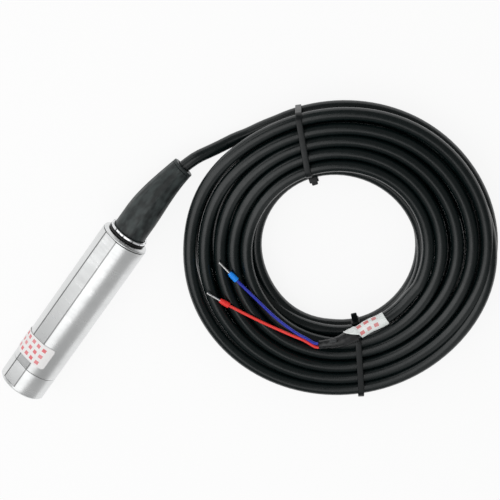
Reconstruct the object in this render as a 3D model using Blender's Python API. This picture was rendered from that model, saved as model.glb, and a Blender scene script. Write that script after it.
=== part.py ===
# Submersible level transmitter: a steel probe with a moulded boot, on a coiled vented cable.
# Metres, +Z up. The probe lies along X on the floor, nose towards -X.
# The origin is below the middle of the probe, on the floor.

import math

import bmesh
import bpy
from mathutils import Matrix, Vector

# Fits
CLEARANCE = 0.0003
SKIN_GAP = 0.0002

# Nose cap, screwed into the front of the housing
HOUSING_DIAMETER = 0.028
NOSE_LENGTH = 0.015
NOSE_CHAMFER = 0.001
NOSE_WALL = 0.003
SPIGOT_LENGTH = 0.007
SPIGOT_WALL = 0.0015
PORT_DIAMETER = 0.0036
PORT_COUNT = 6
PORT_CIRCLE = 0.0124

# Housing tube, turned from bar
HOUSING_LENGTH = 0.0935
HOUSING_WALL = 0.002
LIP_BORE = 0.016
LIP_LENGTH = 0.002
EDGE_BREAK = 0.0003

# Milled flat along the housing and the cap
FLAT_WIDTH = 0.0092
FLAT_ANGLE = math.radians(39.0)
FLAT_MARGIN = 0.0022

# Pressure sensor behind the nose cap
CAPSULE_DIAMETER = 0.019
CAPSULE_LENGTH = 0.0124
CAPSULE_GROOVE_WIDTH = 0.0018
CAPSULE_GROOVE_DEPTH = 0.0013
CAPSULE_RECESS = 0.0003
CAPSULE_RING_SECTION = 0.001
DIAPHRAGM_RIM = 0.0004
DIAPHRAGM_WAVE = 0.0001
DIAPHRAGM_WAVES = 2
DIAPHRAGM_STEPS = 6
RETAINER_LENGTH = 0.003
RETAINER_BORE = 0.0164
RETAINER_SLOT_WIDTH = 0.002
RETAINER_SLOT_DEPTH = 0.001
PIN_DIAMETER = 0.0007
PIN_SPREAD = 0.005
PIN_FACETS = 10

# Circuit board in two moulded carriers
BOARD_WIDTH = 0.017
BOARD_THICKNESS = 0.0016
BOARD_GRIP = 0.002
LEAD_SPACE = 0.0067
CARRIER_LENGTH = 0.003
CARRIER_BORE = 0.012
CHIP_SIZE = (0.008, 0.006, 0.0016)
CHIP_SHARE = 0.3
CAPACITOR_DIAMETER = 0.0056
CAPACITOR_LENGTH = 0.0065
CAPACITOR_SHARE = 0.54
TERMINAL_SIZE = (0.0075, 0.0092, 0.0058)
TERMINAL_SETBACK = 0.005

# End plug, which closes the rear of the housing
PLUG_SPIGOT_LENGTH = 0.012
PLUG_FLANGE_SETBACK = 0.0003
PLUG_FLANGE_LENGTH = 0.0008
PLUG_SHOULDER_LENGTH = 0.0016
PLUG_SHOULDER_WIDTH = 0.0018
PLUG_STEM_DIAMETER = 0.0124
PLUG_STEM_LENGTH = 0.0145
PLUG_GROOVE_WIDTH = 0.002
PLUG_GROOVE_DEPTH = 0.0015
PLUG_RING_SECTION = 0.0012
SEAL_DIAMETER = 0.0114
SEAL_LENGTH = 0.0074
WASHER_DIAMETER = 0.016
WASHER_THICKNESS = 0.0012
CABLE_INSET = 0.0026

# Rim ring and clamp ring at the root of the boot
RIM_RING_SECTION = 0.0015
CLAMP_LENGTH = 0.0023
CLAMP_WALL = 0.0013
CLAMP_NOTCHES = 12
CLAMP_NOTCH_WIDTH = 0.0008
CLAMP_NOTCH_DEPTH = 0.0003

# Moulded boot
BOOT_LENGTH = 0.0505
BOOT_ROOT_DIAMETER = 0.0195
BOOT_MOUTH_DIAMETER = 0.0127
BOOT_TAPER_START = 0.25
BOOT_TAPER_END = 1.1
BOOT_SIDE_BEND = 0.0039
BOOT_DROOP = 0.002
BOOT_LIP_LENGTH = 0.0016
BOOT_LIP_GROOVE = 0.0003
BOOT_RINGS = 12

# Cable and its coil: layers of turns round one centre
CABLE_DIAMETER = 0.0071
TURN_PITCH = 0.0075
LAYER_RISE = 0.0069
LAYERS = 3
BOTTOM_TURNS = 6
COIL_OUTER_DIAMETER = 0.1751
COIL_CENTRE = (0.1703, -0.1032)
TIE_THICKNESS = 0.0011

# Route of the cable from the boot to the coil, from the nose along X
LEAD_IN_ROUTE = (
    (0.1700, -0.0067, 0.0110),
    (0.1745, -0.0094, 0.0099),
    (0.1794, -0.0126, 0.0086),
    (0.1848, -0.0160, 0.0070),
)
LEAD_IN_SPACING = 0.008

# Far end of the cable: angle round the coil in degrees, radius, height
TAIL_ROUTE = (
    (-45.0, 0.0465, 0.0191),
    (-62.0, 0.0465, 0.0191),
    (-80.0, 0.0465, 0.0191),
    (-98.0, 0.0461, 0.0193),
    (-112.0, 0.0454, 0.0204),
    (-123.0, 0.0446, 0.0222),
    (-135.0, 0.0460, 0.0247),
    (-146.0, 0.0496, 0.0262),
    (-157.5, 0.0548, 0.0256),
)
TAIL_SPACING = 0.008
SLEEVE_LENGTH = 0.0225
SLEEVE_WALL = 0.0006
SLEEVE_TIP_DIAMETER = 0.0048
VENT_TUBE_DIAMETER = 0.0018
VENT_TUBE_LENGTH = 0.004
VENT_TUBE_STATION = 0.005
VENT_TUBE_TILT = math.radians(53.0)

# Foil label wrapped over the cable end
CABLE_LABEL_SETBACK = 0.0006
CABLE_LABEL_LENGTH = 0.024
CABLE_LABEL_THICKNESS = 0.0003
CABLE_LABEL_WRAP = math.radians(195.0)

# Connection wires with crimped ferrules
WIRE_DIAMETER = 0.0017
WIRE_SPACING = 0.004
FERRULE_COLLAR_LENGTH = 0.006
FERRULE_COLLAR_DIAMETER = 0.0033
FERRULE_PIN_LENGTH = 0.0075
FERRULE_PIN_DIAMETER = 0.0013
FERRULE_NECK_SHARE = 0.7
FERRULE_NECK_SCALE = 0.94
WIRE_TIP_SPREAD = 0.0011
RED_ROUTE = (
    (0.1158, -0.1190, 0.0248),
    (0.1155, -0.1080, 0.0238),
    (0.1148, -0.0968, 0.0237),
    (0.1135, -0.0820, 0.0237),
    (0.1121, -0.0703, 0.0240),
)
RED_FERRULE_AIM = (0.1119, -0.0554, 0.0243)
BLUE_ROUTE = (
    (0.1188, -0.1175, 0.0252),
    (0.1197, -0.1055, 0.0243),
    (0.1218, -0.0930, 0.0239),
    (0.1243, -0.0800, 0.0240),
    (0.1262, -0.0668, 0.0242),
)
BLUE_FERRULE_AIM = (0.1305, -0.0505, 0.0245)

# Cable ties, one loop of strap with a head on the inner wall
TIE_WIDTH = 0.0032
TIE_ANGLES = (52.5, -135.0)
TIE_STUBS = (0.004, 0.0055)
TIE_HEAD = (0.0036, 0.0052, 0.0046)
TIE_HEAD_LIFT = 0.35

# Round sticker on the housing
STICKER_START = 0.0205
STICKER_LENGTH = 0.014
STICKER_THICKNESS = 0.00015
STICKER_FROM = math.radians(-22.0)
STICKER_TO = math.radians(100.0)

# Stations along the probe, measured from the nose
AXIS_HEIGHT = HOUSING_DIAMETER / 2
HOUSING_START = NOSE_LENGTH + CLEARANCE
HOUSING_END = HOUSING_START + HOUSING_LENGTH
SPIGOT_END = NOSE_LENGTH + SPIGOT_LENGTH
RETAINER_START = SPIGOT_END + CLEARANCE
RETAINER_END = RETAINER_START + RETAINER_LENGTH
DIAPHRAGM_FRONT = RETAINER_END + CLEARANCE
CAPSULE_FRONT = DIAPHRAGM_FRONT + DIAPHRAGM_RIM + CLEARANCE
CAPSULE_REAR = CAPSULE_FRONT + CAPSULE_LENGTH
LIP_START = CAPSULE_REAR + CLEARANCE
LIP_END = LIP_START + LIP_LENGTH
CARRIER_START = LIP_END + CLEARANCE
BOARD_START = CARRIER_START + CARRIER_LENGTH - BOARD_GRIP
PLUG_SHOULDER = HOUSING_END + CLEARANCE
PLUG_START = PLUG_SHOULDER - PLUG_SPIGOT_LENGTH
PLUG_TOP = PLUG_SHOULDER + PLUG_FLANGE_LENGTH + PLUG_SHOULDER_LENGTH
STEM_END = PLUG_TOP + PLUG_STEM_LENGTH
SEAL_END = PLUG_START + CLEARANCE + SEAL_LENGTH + CLEARANCE
WASHER_END = PLUG_START - CLEARANCE
CABLE_START = WASHER_END - WASHER_THICKNESS - CABLE_INSET
BOARD_END = CABLE_START - LEAD_SPACE
BOARD_LENGTH = BOARD_END - BOARD_START
REAR_CARRIER_START = BOARD_END - BOARD_GRIP
TERMINAL_END = BOARD_END - TERMINAL_SETBACK
BOOT_START = PLUG_TOP + CLEARANCE
BOOT_END = BOOT_START + BOOT_LENGTH
BEND_START = STEM_END + CLEARANCE
RIM_RING_STATION = PLUG_TOP + CLEARANCE + RIM_RING_SECTION / 2
CLAMP_START = RIM_RING_STATION + RIM_RING_SECTION / 2 + CLEARANCE

# Radii shared by neighbours
HOUSING_RADIUS = HOUSING_DIAMETER / 2
BORE_RADIUS = HOUSING_RADIUS - HOUSING_WALL
FLANGE_RADIUS = HOUSING_RADIUS - PLUG_FLANGE_SETBACK
INSERT_RADIUS = BORE_RADIUS - CLEARANCE
CAPSULE_RADIUS = CAPSULE_DIAMETER / 2
SEAT_RADIUS = CAPSULE_RADIUS + CLEARANCE
CABLE_RADIUS = CABLE_DIAMETER / 2
CABLE_HOLE_RADIUS = CABLE_RADIUS + CLEARANCE
BOOT_ROOT_RADIUS = BOOT_ROOT_DIAMETER / 2
FLAT_DISTANCE = math.sqrt(HOUSING_RADIUS ** 2 - (FLAT_WIDTH / 2) ** 2)
COIL_LIFT = TIE_THICKNESS + CLEARANCE

# Facets round each kind of piece
BODY_FACETS = 48
INNER_FACETS = 28
SMALL_FACETS = 16
BOOT_FACETS = 28
COIL_FACETS = 56
RING_SECTION_FACETS = 6
ARC_STEPS = 3
STEP_ARC_START = 112
TIE_ARC_STEPS = 5
STICKER_STEPS = 30
LABEL_ARC_STEPS = 10
LABEL_RINGS = 8


def clear_scene():
    for item in list(bpy.data.objects):
        bpy.data.objects.remove(item, do_unlink=True)


def make_material(name, colour, roughness, metallic):
    material = bpy.data.materials.new(name)
    material.use_nodes = True
    shader = material.node_tree.nodes["Principled BSDF"]
    shader.inputs["Base Color"].default_value = (*colour, 1.0)
    shader.inputs["Roughness"].default_value = roughness
    shader.inputs["Metallic"].default_value = metallic
    return material


def add_object(name, data, material, parent):
    item = bpy.data.objects.new(name, data)
    bpy.context.scene.collection.objects.link(item)
    item.parent = parent
    if material is not None:
        data.materials.append(material)
    return item


def finish_mesh(name, mesh_data, material, parent, smooth_angle=35.0):
    bmesh.ops.recalc_face_normals(mesh_data, faces=mesh_data.faces)
    mesh = bpy.data.meshes.new(name)
    mesh_data.to_mesh(mesh)
    mesh_data.free()
    mesh.shade_smooth()
    mesh.set_sharp_from_angle(angle=math.radians(smooth_angle))
    return add_object(name, mesh, material, parent)


def bridge(mesh_data, first, second):
    # A ring of one vertex is a pole
    count = max(len(first), len(second))
    for i in range(count):
        j = (i + 1) % count
        if len(first) == 1:
            mesh_data.faces.new((first[0], second[j], second[i]))
        elif len(second) == 1:
            mesh_data.faces.new((first[i], first[j], second[0]))
        else:
            mesh_data.faces.new((first[i], first[j], second[j], second[i]))


def turned(name, profile, facets, material, parent):
    # Revolves a closed (station, radius) outline about X; a solid's outline ends on the axis
    mesh_data = bmesh.new()
    rings = []
    for station, radius in profile:
        if radius == 0.0:
            rings.append([mesh_data.verts.new((station, 0.0, 0.0))])
            continue
        ring = []
        for i in range(facets):
            angle = 2 * math.pi * i / facets
            ring.append(mesh_data.verts.new((station, radius * math.cos(angle), radius * math.sin(angle))))
        rings.append(ring)
    for first, second in zip(rings, rings[1:] + rings[:1]):
        if len(first) > 1 or len(second) > 1:
            bridge(mesh_data, first, second)
    return finish_mesh(name, mesh_data, material, parent)


def lofted(name, rings, closed, material, parent):
    # Skins rings of equal count; an open loft is capped at both ends
    mesh_data = bmesh.new()
    made = [[mesh_data.verts.new(point) for point in ring] for ring in rings]
    for first, second in zip(made, made[1:]):
        bridge(mesh_data, first, second)
    if closed:
        bridge(mesh_data, made[-1], made[0])
    else:
        mesh_data.faces.new(made[0])
        mesh_data.faces.new(made[-1])
    return finish_mesh(name, mesh_data, material, parent)


def section_ring(centre, direction, radius, facets):
    # Circle square to a direction, with its first point upwards
    direction = direction.normalized()
    side = direction.cross(Vector((0, 0, 1))).normalized()
    up = side.cross(direction)
    ring = []
    for i in range(facets):
        angle = 2 * math.pi * i / facets
        ring.append(centre + radius * (math.cos(angle) * up + math.sin(angle) * side))
    return ring


def smooth_route(points, spacing):
    # Catmull-Rom curve through the points, read again at about equal spacing
    points = [Vector(point) for point in points]
    ends = [2 * points[0] - points[1]] + points + [2 * points[-1] - points[-2]]
    fine = []
    for a, b, c, d in zip(ends, ends[1:], ends[2:], ends[3:]):
        for step in range(24):
            t = step / 24
            fine.append(0.5 * (2 * b + (c - a) * t + (2 * a - 5 * b + 4 * c - d) * t * t
                               + (3 * b - a - 3 * c + d) * t ** 3))
    fine.append(points[-1])
    travelled = [0.0]
    for first, second in zip(fine, fine[1:]):
        travelled.append(travelled[-1] + (second - first).length)
    count = max(2, round(travelled[-1] / spacing) + 1)
    route = []
    j = 0
    for i in range(count):
        wanted = travelled[-1] * i / (count - 1)
        while j < len(fine) - 2 and travelled[j + 1] < wanted:
            j += 1
        share = (wanted - travelled[j]) / (travelled[j + 1] - travelled[j])
        route.append(fine[j].lerp(fine[j + 1], share))
    return route


def tube(name, route, radius, material, parent):
    curve = bpy.data.curves.new(name, "CURVE")
    curve.dimensions = "3D"
    curve.bevel_depth = radius
    curve.bevel_resolution = 3 if radius > 0.002 else 2
    curve.use_fill_caps = True
    spline = curve.splines.new("POLY")
    spline.points.add(len(route) - 1)
    for point, place in zip(spline.points, route):
        point.co = (*place, 1.0)
    return add_object(name, curve, material, parent)


def box(name, low, high, material, parent):
    mesh_data = bmesh.new()
    bmesh.ops.create_cube(mesh_data, size=1.0)
    size = [b - a for a, b in zip(low, high)]
    middle = [(a + b) / 2 for a, b in zip(low, high)]
    bmesh.ops.scale(mesh_data, vec=size, verts=mesh_data.verts)
    bmesh.ops.translate(mesh_data, vec=middle, verts=mesh_data.verts)
    return finish_mesh(name, mesh_data, material, parent)


def torus(name, station, ring_radius, section, facets, material, parent):
    half = section / 2
    profile = []
    for i in range(RING_SECTION_FACETS):
        angle = 2 * math.pi * i / RING_SECTION_FACETS
        profile.append((station + half * math.cos(angle), ring_radius + half * math.sin(angle)))
    return turned(name, profile, facets, material, parent)


def as_cutter(item):
    item.hide_render = True
    item.display_type = "WIRE"
    return item


def combine(item, other, operation="DIFFERENCE"):
    modifier = item.modifiers.new(other.name, "BOOLEAN")
    modifier.operation = operation
    modifier.solver = "EXACT"
    modifier.object = as_cutter(other)


def rounded_outline(centres, radius, arc_steps):
    # Outline at one distance round a convex loop of (across, up) centres, counter-clockwise
    outline = []
    count = len(centres)
    for i, centre in enumerate(centres):
        before = centres[i - 1]
        after = centres[(i + 1) % count]
        start = math.atan2(before[0] - centre[0], centre[1] - before[1])
        end = math.atan2(centre[0] - after[0], after[1] - centre[1])
        while end < start:
            end += 2 * math.pi
        for step in range(arc_steps + 1):
            angle = start + (end - start) * step / arc_steps
            outline.append((centre[0] + radius * math.cos(angle), centre[1] + radius * math.sin(angle)))
    return outline


# Probe pieces, turned about the X axis from stations measured from the nose

def flat_cutter(name, start, end, parent):
    # Block whose lower face is the milled flat
    top = FLAT_DISTANCE + HOUSING_RADIUS
    block = box(name, (start, -HOUSING_RADIUS, FLAT_DISTANCE), (end, HOUSING_RADIUS, top), None, parent)
    block.rotation_euler = (-FLAT_ANGLE, 0.0, 0.0)
    return block


def nose_cap(steel, axis):
    inside = INSERT_RADIUS - SPIGOT_WALL
    profile = [
        (0.0, 0.0),
        (0.0, HOUSING_RADIUS - NOSE_CHAMFER),
        (NOSE_CHAMFER * 0.3, HOUSING_RADIUS - NOSE_CHAMFER * 0.3),
        (NOSE_CHAMFER, HOUSING_RADIUS),
        (NOSE_LENGTH - EDGE_BREAK, HOUSING_RADIUS),
        (NOSE_LENGTH, HOUSING_RADIUS - EDGE_BREAK),
        (NOSE_LENGTH, INSERT_RADIUS),
        (SPIGOT_END - EDGE_BREAK, INSERT_RADIUS),
        (SPIGOT_END, INSERT_RADIUS - EDGE_BREAK),
        (SPIGOT_END, inside),
        (NOSE_WALL, inside),
        (NOSE_WALL, 0.0),
    ]
    cap = turned("nose_cap", profile, BODY_FACETS, steel, axis)
    ports = [(0.0, 0.0)]
    for i in range(PORT_COUNT):
        angle = 2 * math.pi * i / PORT_COUNT
        ports.append((PORT_CIRCLE / 2 * math.cos(angle), PORT_CIRCLE / 2 * math.sin(angle)))
    for i, (across, up) in enumerate(ports):
        radius = PORT_DIAMETER / 2
        drill = turned(f"port_drill_{i}", [(-NOSE_WALL, 0.0), (-NOSE_WALL, radius),
                                           (2 * NOSE_WALL, radius), (2 * NOSE_WALL, 0.0)],
                       SMALL_FACETS, None, axis)
        drill.location = (0.0, across, up)
        combine(cap, drill)
    combine(cap, flat_cutter("cap_flat_cutter", FLAT_MARGIN, NOSE_LENGTH + CLEARANCE / 2, axis))
    return cap


def housing_tube(steel, axis):
    lip = LIP_BORE / 2
    profile = [
        (HOUSING_START, HOUSING_RADIUS - EDGE_BREAK),
        (HOUSING_START + EDGE_BREAK, HOUSING_RADIUS),
        (HOUSING_END - EDGE_BREAK, HOUSING_RADIUS),
        (HOUSING_END, HOUSING_RADIUS - EDGE_BREAK),
        (HOUSING_END, BORE_RADIUS),
        (LIP_END, BORE_RADIUS),
        (LIP_END, lip),
        (LIP_START, lip),
        (LIP_START, SEAT_RADIUS),
        (CAPSULE_FRONT, SEAT_RADIUS),
        (CAPSULE_FRONT, BORE_RADIUS),
        (HOUSING_START, BORE_RADIUS),
    ]
    housing = turned("housing_tube", profile, BODY_FACETS, steel, axis)
    combine(housing, flat_cutter("housing_flat_cutter", NOSE_LENGTH, HOUSING_END + CLEARANCE, axis))
    return housing


def sensor_capsule(steel, axis):
    middle = (CAPSULE_FRONT + CAPSULE_REAR) / 2
    groove = CAPSULE_RADIUS - CAPSULE_GROOVE_DEPTH
    recess = RETAINER_BORE / 2
    profile = [
        (CAPSULE_FRONT + CAPSULE_RECESS, 0.0),
        (CAPSULE_FRONT + CAPSULE_RECESS, recess),
        (CAPSULE_FRONT, recess),
        (CAPSULE_FRONT, CAPSULE_RADIUS),
        (middle - CAPSULE_GROOVE_WIDTH / 2, CAPSULE_RADIUS),
        (middle - CAPSULE_GROOVE_WIDTH / 2, groove),
        (middle + CAPSULE_GROOVE_WIDTH / 2, groove),
        (middle + CAPSULE_GROOVE_WIDTH / 2, CAPSULE_RADIUS),
        (CAPSULE_REAR, CAPSULE_RADIUS),
        (CAPSULE_REAR, 0.0),
    ]
    return turned("sensor_capsule", profile, INNER_FACETS, steel, axis)


def sensor_o_ring(rubber, axis):
    station = (CAPSULE_FRONT + CAPSULE_REAR) / 2
    ring_radius = CAPSULE_RADIUS - CAPSULE_GROOVE_DEPTH + CLEARANCE + CAPSULE_RING_SECTION / 2
    return torus("sensor_o_ring", station, ring_radius, CAPSULE_RING_SECTION, INNER_FACETS, rubber, axis)


def isolating_diaphragm(foil, axis):
    # Thin disc with concentric waves inside its welded rim
    rim = CAPSULE_RADIUS
    waved = RETAINER_BORE / 2 - CLEARANCE
    middle = DIAPHRAGM_FRONT + DIAPHRAGM_RIM / 2
    front = []
    rear = []
    for i in range(DIAPHRAGM_STEPS + 1):
        radius = waved * i / DIAPHRAGM_STEPS
        wave = DIAPHRAGM_WAVE * math.cos(2 * math.pi * DIAPHRAGM_WAVES * i / DIAPHRAGM_STEPS)
        front.append((middle - DIAPHRAGM_RIM / 4 + wave, radius))
        rear.append((middle + DIAPHRAGM_RIM / 4 + wave, radius))
    edge = [(DIAPHRAGM_FRONT, waved + CLEARANCE), (DIAPHRAGM_FRONT, rim),
            (DIAPHRAGM_FRONT + DIAPHRAGM_RIM, rim), (DIAPHRAGM_FRONT + DIAPHRAGM_RIM, waved + CLEARANCE)]
    return turned("isolating_diaphragm", front + edge + rear[::-1], INNER_FACETS, foil, axis)


def sensor_retaining_ring(steel, axis):
    profile = [(RETAINER_START, RETAINER_BORE / 2), (RETAINER_START, INSERT_RADIUS),
               (RETAINER_END, INSERT_RADIUS), (RETAINER_END, RETAINER_BORE / 2)]
    ring = turned("sensor_retaining_ring", profile, INNER_FACETS, steel, axis)
    slot_half = RETAINER_SLOT_WIDTH / 2
    slot = box("retainer_slot_cutter", (RETAINER_START - RETAINER_SLOT_DEPTH, -BORE_RADIUS, -slot_half),
               (RETAINER_START + RETAINER_SLOT_DEPTH, BORE_RADIUS, slot_half), None, axis)
    combine(ring, slot)
    return ring


def header_pins(gold, axis):
    # Four pins from the capsule's rear, which straddle the board's front edge
    height = BOARD_THICKNESS / 2 + CLEARANCE + PIN_DIAMETER / 2
    start = CAPSULE_REAR + CLEARANCE
    end = CARRIER_START + CARRIER_LENGTH + BOARD_GRIP
    number = 0
    for up in (-height, height):
        for across in (-PIN_SPREAD / 2, PIN_SPREAD / 2):
            number += 1
            profile = [(start, 0.0), (start, PIN_DIAMETER / 2), (end, PIN_DIAMETER / 2), (end, 0.0)]
            pin = turned(f"header_pin_{number}", profile, PIN_FACETS, gold, axis)
            pin.location = (0.0, across, up)


def board_carrier(name, start, slot_start, slot_end, plastic, axis):
    # Moulded ring whose slot grips the end of the board
    profile = [(start, CARRIER_BORE / 2), (start, INSERT_RADIUS),
               (start + CARRIER_LENGTH, INSERT_RADIUS), (start + CARRIER_LENGTH, CARRIER_BORE / 2)]
    ring = turned(name, profile, INNER_FACETS, plastic, axis)
    half_width = BOARD_WIDTH / 2 + CLEARANCE
    half_height = BOARD_THICKNESS / 2 + CLEARANCE
    slot = box(name + "_slot_cutter", (slot_start, -half_width, -half_height),
               (slot_end, half_width, half_height), None, axis)
    combine(ring, slot)
    return ring


def circuit_board(laminate, axis):
    return box("circuit_board", (BOARD_START, -BOARD_WIDTH / 2, -BOARD_THICKNESS / 2),
               (BOARD_END, BOARD_WIDTH / 2, BOARD_THICKNESS / 2), laminate, axis)


def board_parts(black, silver, green, axis):
    deck = BOARD_THICKNESS / 2 + CLEARANCE
    chip_start = BOARD_START + BOARD_LENGTH * CHIP_SHARE - CHIP_SIZE[0] / 2
    box("amplifier_chip", (chip_start, -CHIP_SIZE[1] / 2, deck),
        (chip_start + CHIP_SIZE[0], CHIP_SIZE[1] / 2, deck + CHIP_SIZE[2]), black, axis)
    radius = CAPACITOR_DIAMETER / 2
    capacitor = turned("surge_capacitor", [(0.0, 0.0), (0.0, radius), (CAPACITOR_LENGTH, radius),
                                           (CAPACITOR_LENGTH, 0.0)], SMALL_FACETS, silver, axis)
    capacitor.rotation_euler = (0.0, -math.pi / 2, 0.0)
    capacitor.location = (BOARD_START + BOARD_LENGTH * CAPACITOR_SHARE, 0.0, deck)
    box("terminal_block", (TERMINAL_END - TERMINAL_SIZE[0], -TERMINAL_SIZE[1] / 2, deck),
        (TERMINAL_END, TERMINAL_SIZE[1] / 2, deck + TERMINAL_SIZE[2]), green, axis)


def inner_leads(red, blue, axis):
    # Cores of the cable, from its end to the terminal block
    deck = BOARD_THICKNESS / 2 + CLEARANCE
    for name, side, material in (("inner_red_lead", 1, red), ("inner_blue_lead", -1, blue)):
        near = side * (WIRE_DIAMETER / 2 + CLEARANCE)
        start = Vector((TERMINAL_END + CLEARANCE, 2 * near, deck + TERMINAL_SIZE[2] / 2))
        end = Vector((CABLE_START - CLEARANCE, near, 0.0))
        reach = (end.x - start.x) / 3
        middle = [start + Vector((reach, 0, 0)), end - Vector((reach, 0, 0))]
        route = smooth_route([start] + middle + [end], WIRE_SPACING / 2)
        tube(name, route, WIRE_DIAMETER / 2, material, axis)


def end_plug(steel, axis):
    groove_middle = (PLUG_START + PLUG_SHOULDER) / 2
    groove = INSERT_RADIUS - PLUG_GROOVE_DEPTH
    stem = PLUG_STEM_DIAMETER / 2
    seal = SEAL_DIAMETER / 2 + CLEARANCE
    profile = [
        (PLUG_START, seal),
        (PLUG_START, INSERT_RADIUS),
        (groove_middle - PLUG_GROOVE_WIDTH / 2, INSERT_RADIUS),
        (groove_middle - PLUG_GROOVE_WIDTH / 2, groove),
        (groove_middle + PLUG_GROOVE_WIDTH / 2, groove),
        (groove_middle + PLUG_GROOVE_WIDTH / 2, INSERT_RADIUS),
        (PLUG_SHOULDER, INSERT_RADIUS),
        (PLUG_SHOULDER, FLANGE_RADIUS),
        (PLUG_SHOULDER + PLUG_FLANGE_LENGTH, FLANGE_RADIUS),
        (PLUG_TOP, FLANGE_RADIUS - PLUG_SHOULDER_WIDTH),
        (PLUG_TOP, stem),
        (STEM_END, stem),
        (STEM_END, CABLE_HOLE_RADIUS),
        (SEAL_END, CABLE_HOLE_RADIUS),
        (SEAL_END, seal),
    ]
    return turned("end_plug", profile, BODY_FACETS, steel, axis)


def plug_o_ring(rubber, axis):
    ring_radius = INSERT_RADIUS - PLUG_GROOVE_DEPTH + CLEARANCE + PLUG_RING_SECTION / 2
    station = (PLUG_START + PLUG_SHOULDER) / 2
    return torus("plug_o_ring", station, ring_radius, PLUG_RING_SECTION, INNER_FACETS, rubber, axis)


def cable_seal(rubber, axis):
    start = PLUG_START + CLEARANCE
    profile = [(start, CABLE_HOLE_RADIUS), (start, SEAL_DIAMETER / 2),
               (start + SEAL_LENGTH, SEAL_DIAMETER / 2), (start + SEAL_LENGTH, CABLE_HOLE_RADIUS)]
    return turned("cable_seal", profile, INNER_FACETS, rubber, axis)


def seal_washer(steel, axis):
    start = WASHER_END - WASHER_THICKNESS
    profile = [(start, CABLE_HOLE_RADIUS), (start, WASHER_DIAMETER / 2),
               (WASHER_END, WASHER_DIAMETER / 2), (WASHER_END, CABLE_HOLE_RADIUS)]
    return turned("seal_washer", profile, INNER_FACETS, steel, axis)


def rim_o_ring(rubber, axis):
    ring_radius = BOOT_ROOT_RADIUS + CLEARANCE + RIM_RING_SECTION / 2
    return torus("rim_o_ring", RIM_RING_STATION, ring_radius, RIM_RING_SECTION, BODY_FACETS, rubber, axis)


def clamp_ring(steel, axis):
    # Polished ring with small spanner notches in its rim
    inside = BOOT_ROOT_RADIUS + CLEARANCE
    outside = inside + CLAMP_WALL
    end = CLAMP_START + CLAMP_LENGTH
    profile = [
        (CLAMP_START, inside),
        (CLAMP_START, outside - EDGE_BREAK),
        (CLAMP_START + EDGE_BREAK, outside),
        (end - EDGE_BREAK, outside),
        (end, outside - EDGE_BREAK),
        (end, inside),
    ]
    ring = turned("clamp_ring", profile, BODY_FACETS, steel, axis)
    notch_half = CLAMP_NOTCH_WIDTH / 2
    for i in range(CLAMP_NOTCHES):
        low = (CLAMP_START - CLAMP_LENGTH, -notch_half, outside - CLAMP_NOTCH_DEPTH)
        high = (end + CLAMP_LENGTH, notch_half, outside + CLAMP_WALL)
        notch = box(f"notch_cutter_{i}", low, high, None, axis)
        notch.rotation_euler = (2 * math.pi * (i + 0.5) / CLAMP_NOTCHES, 0.0, 0.0)
        combine(ring, notch)
    return ring


def cable_axis(station):
    # Centre line of the boot and of the cable in it, from the probe's axis
    bent = max(0.0, station - BEND_START) / (BOOT_END - BEND_START)
    return Vector((station, -BOOT_SIDE_BEND * bent ** 2, -BOOT_DROOP * bent ** 2))


def cable_direction(station):
    step = CABLE_RADIUS / 10
    return (cable_axis(station + step) - cable_axis(station - step)).normalized()


def boot_radius(station):
    # Straight root, then an eased taper to the mouth
    share = ((station - BOOT_START) / BOOT_LENGTH - BOOT_TAPER_START) / (BOOT_TAPER_END - BOOT_TAPER_START)
    share = min(1.0, max(0.0, share))
    eased = share * share * (3 - 2 * share)
    return BOOT_ROOT_RADIUS + (BOOT_MOUTH_DIAMETER / 2 - BOOT_ROOT_RADIUS) * eased


def boot_rings():
    # Outer skin from root to mouth with its lip, then the bore back to the root
    lip = BOOT_END - BOOT_LIP_LENGTH
    taper = lip - 2 * BOOT_LIP_GROOVE - BOOT_START
    stations = [BOOT_START + taper * i / BOOT_RINGS for i in range(BOOT_RINGS + 1)]
    skin = [(station, boot_radius(station)) for station in stations]
    skin += [
        (lip - BOOT_LIP_GROOVE, boot_radius(lip) - BOOT_LIP_GROOVE),
        (lip, boot_radius(lip)),
        (BOOT_END - BOOT_LIP_GROOVE, boot_radius(BOOT_END)),
        (BOOT_END, boot_radius(BOOT_END) - BOOT_LIP_GROOVE),
    ]
    stem_hole = PLUG_STEM_DIAMETER / 2 + CLEARANCE
    bore_steps = BOOT_RINGS // 2
    bent = BOOT_END - BEND_START
    bore = [(BOOT_END - bent * i / bore_steps, CABLE_HOLE_RADIUS) for i in range(bore_steps + 1)]
    bore += [(BEND_START, stem_hole), (BOOT_START, stem_hole)]
    return [section_ring(cable_axis(station), cable_direction(station), radius, BOOT_FACETS)
            for station, radius in skin + bore]


def rubber_boot(rubber, axis):
    return lofted("rubber_boot", boot_rings(), True, rubber, axis)


def housing_outline_radius(angle):
    # Radius of the housing with its flat, at an angle from +Y towards +Z
    off_flat = angle - (math.pi / 2 - FLAT_ANGLE)
    if math.cos(off_flat) <= 0.0:
        return HOUSING_RADIUS
    return min(HOUSING_RADIUS, FLAT_DISTANCE / math.cos(off_flat))


def probe_sticker(paper, axis):
    rings = []
    for i in range(STICKER_STEPS + 1):
        angle = STICKER_FROM + (STICKER_TO - STICKER_FROM) * i / STICKER_STEPS
        inner = housing_outline_radius(angle) + SKIN_GAP
        outer = inner + STICKER_THICKNESS
        ring = []
        for station, radius in ((STICKER_START, inner), (STICKER_START + STICKER_LENGTH, inner),
                                (STICKER_START + STICKER_LENGTH, outer), (STICKER_START, outer)):
            ring.append(Vector((station, radius * math.cos(angle), radius * math.sin(angle))))
        rings.append(ring)
    return lofted("probe_sticker", rings, False, paper, axis)


# Cable pieces, placed from the nose along X and from the floor up

def layer_height(layer):
    return COIL_LIFT + CABLE_RADIUS + LAYER_RISE * layer


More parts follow.
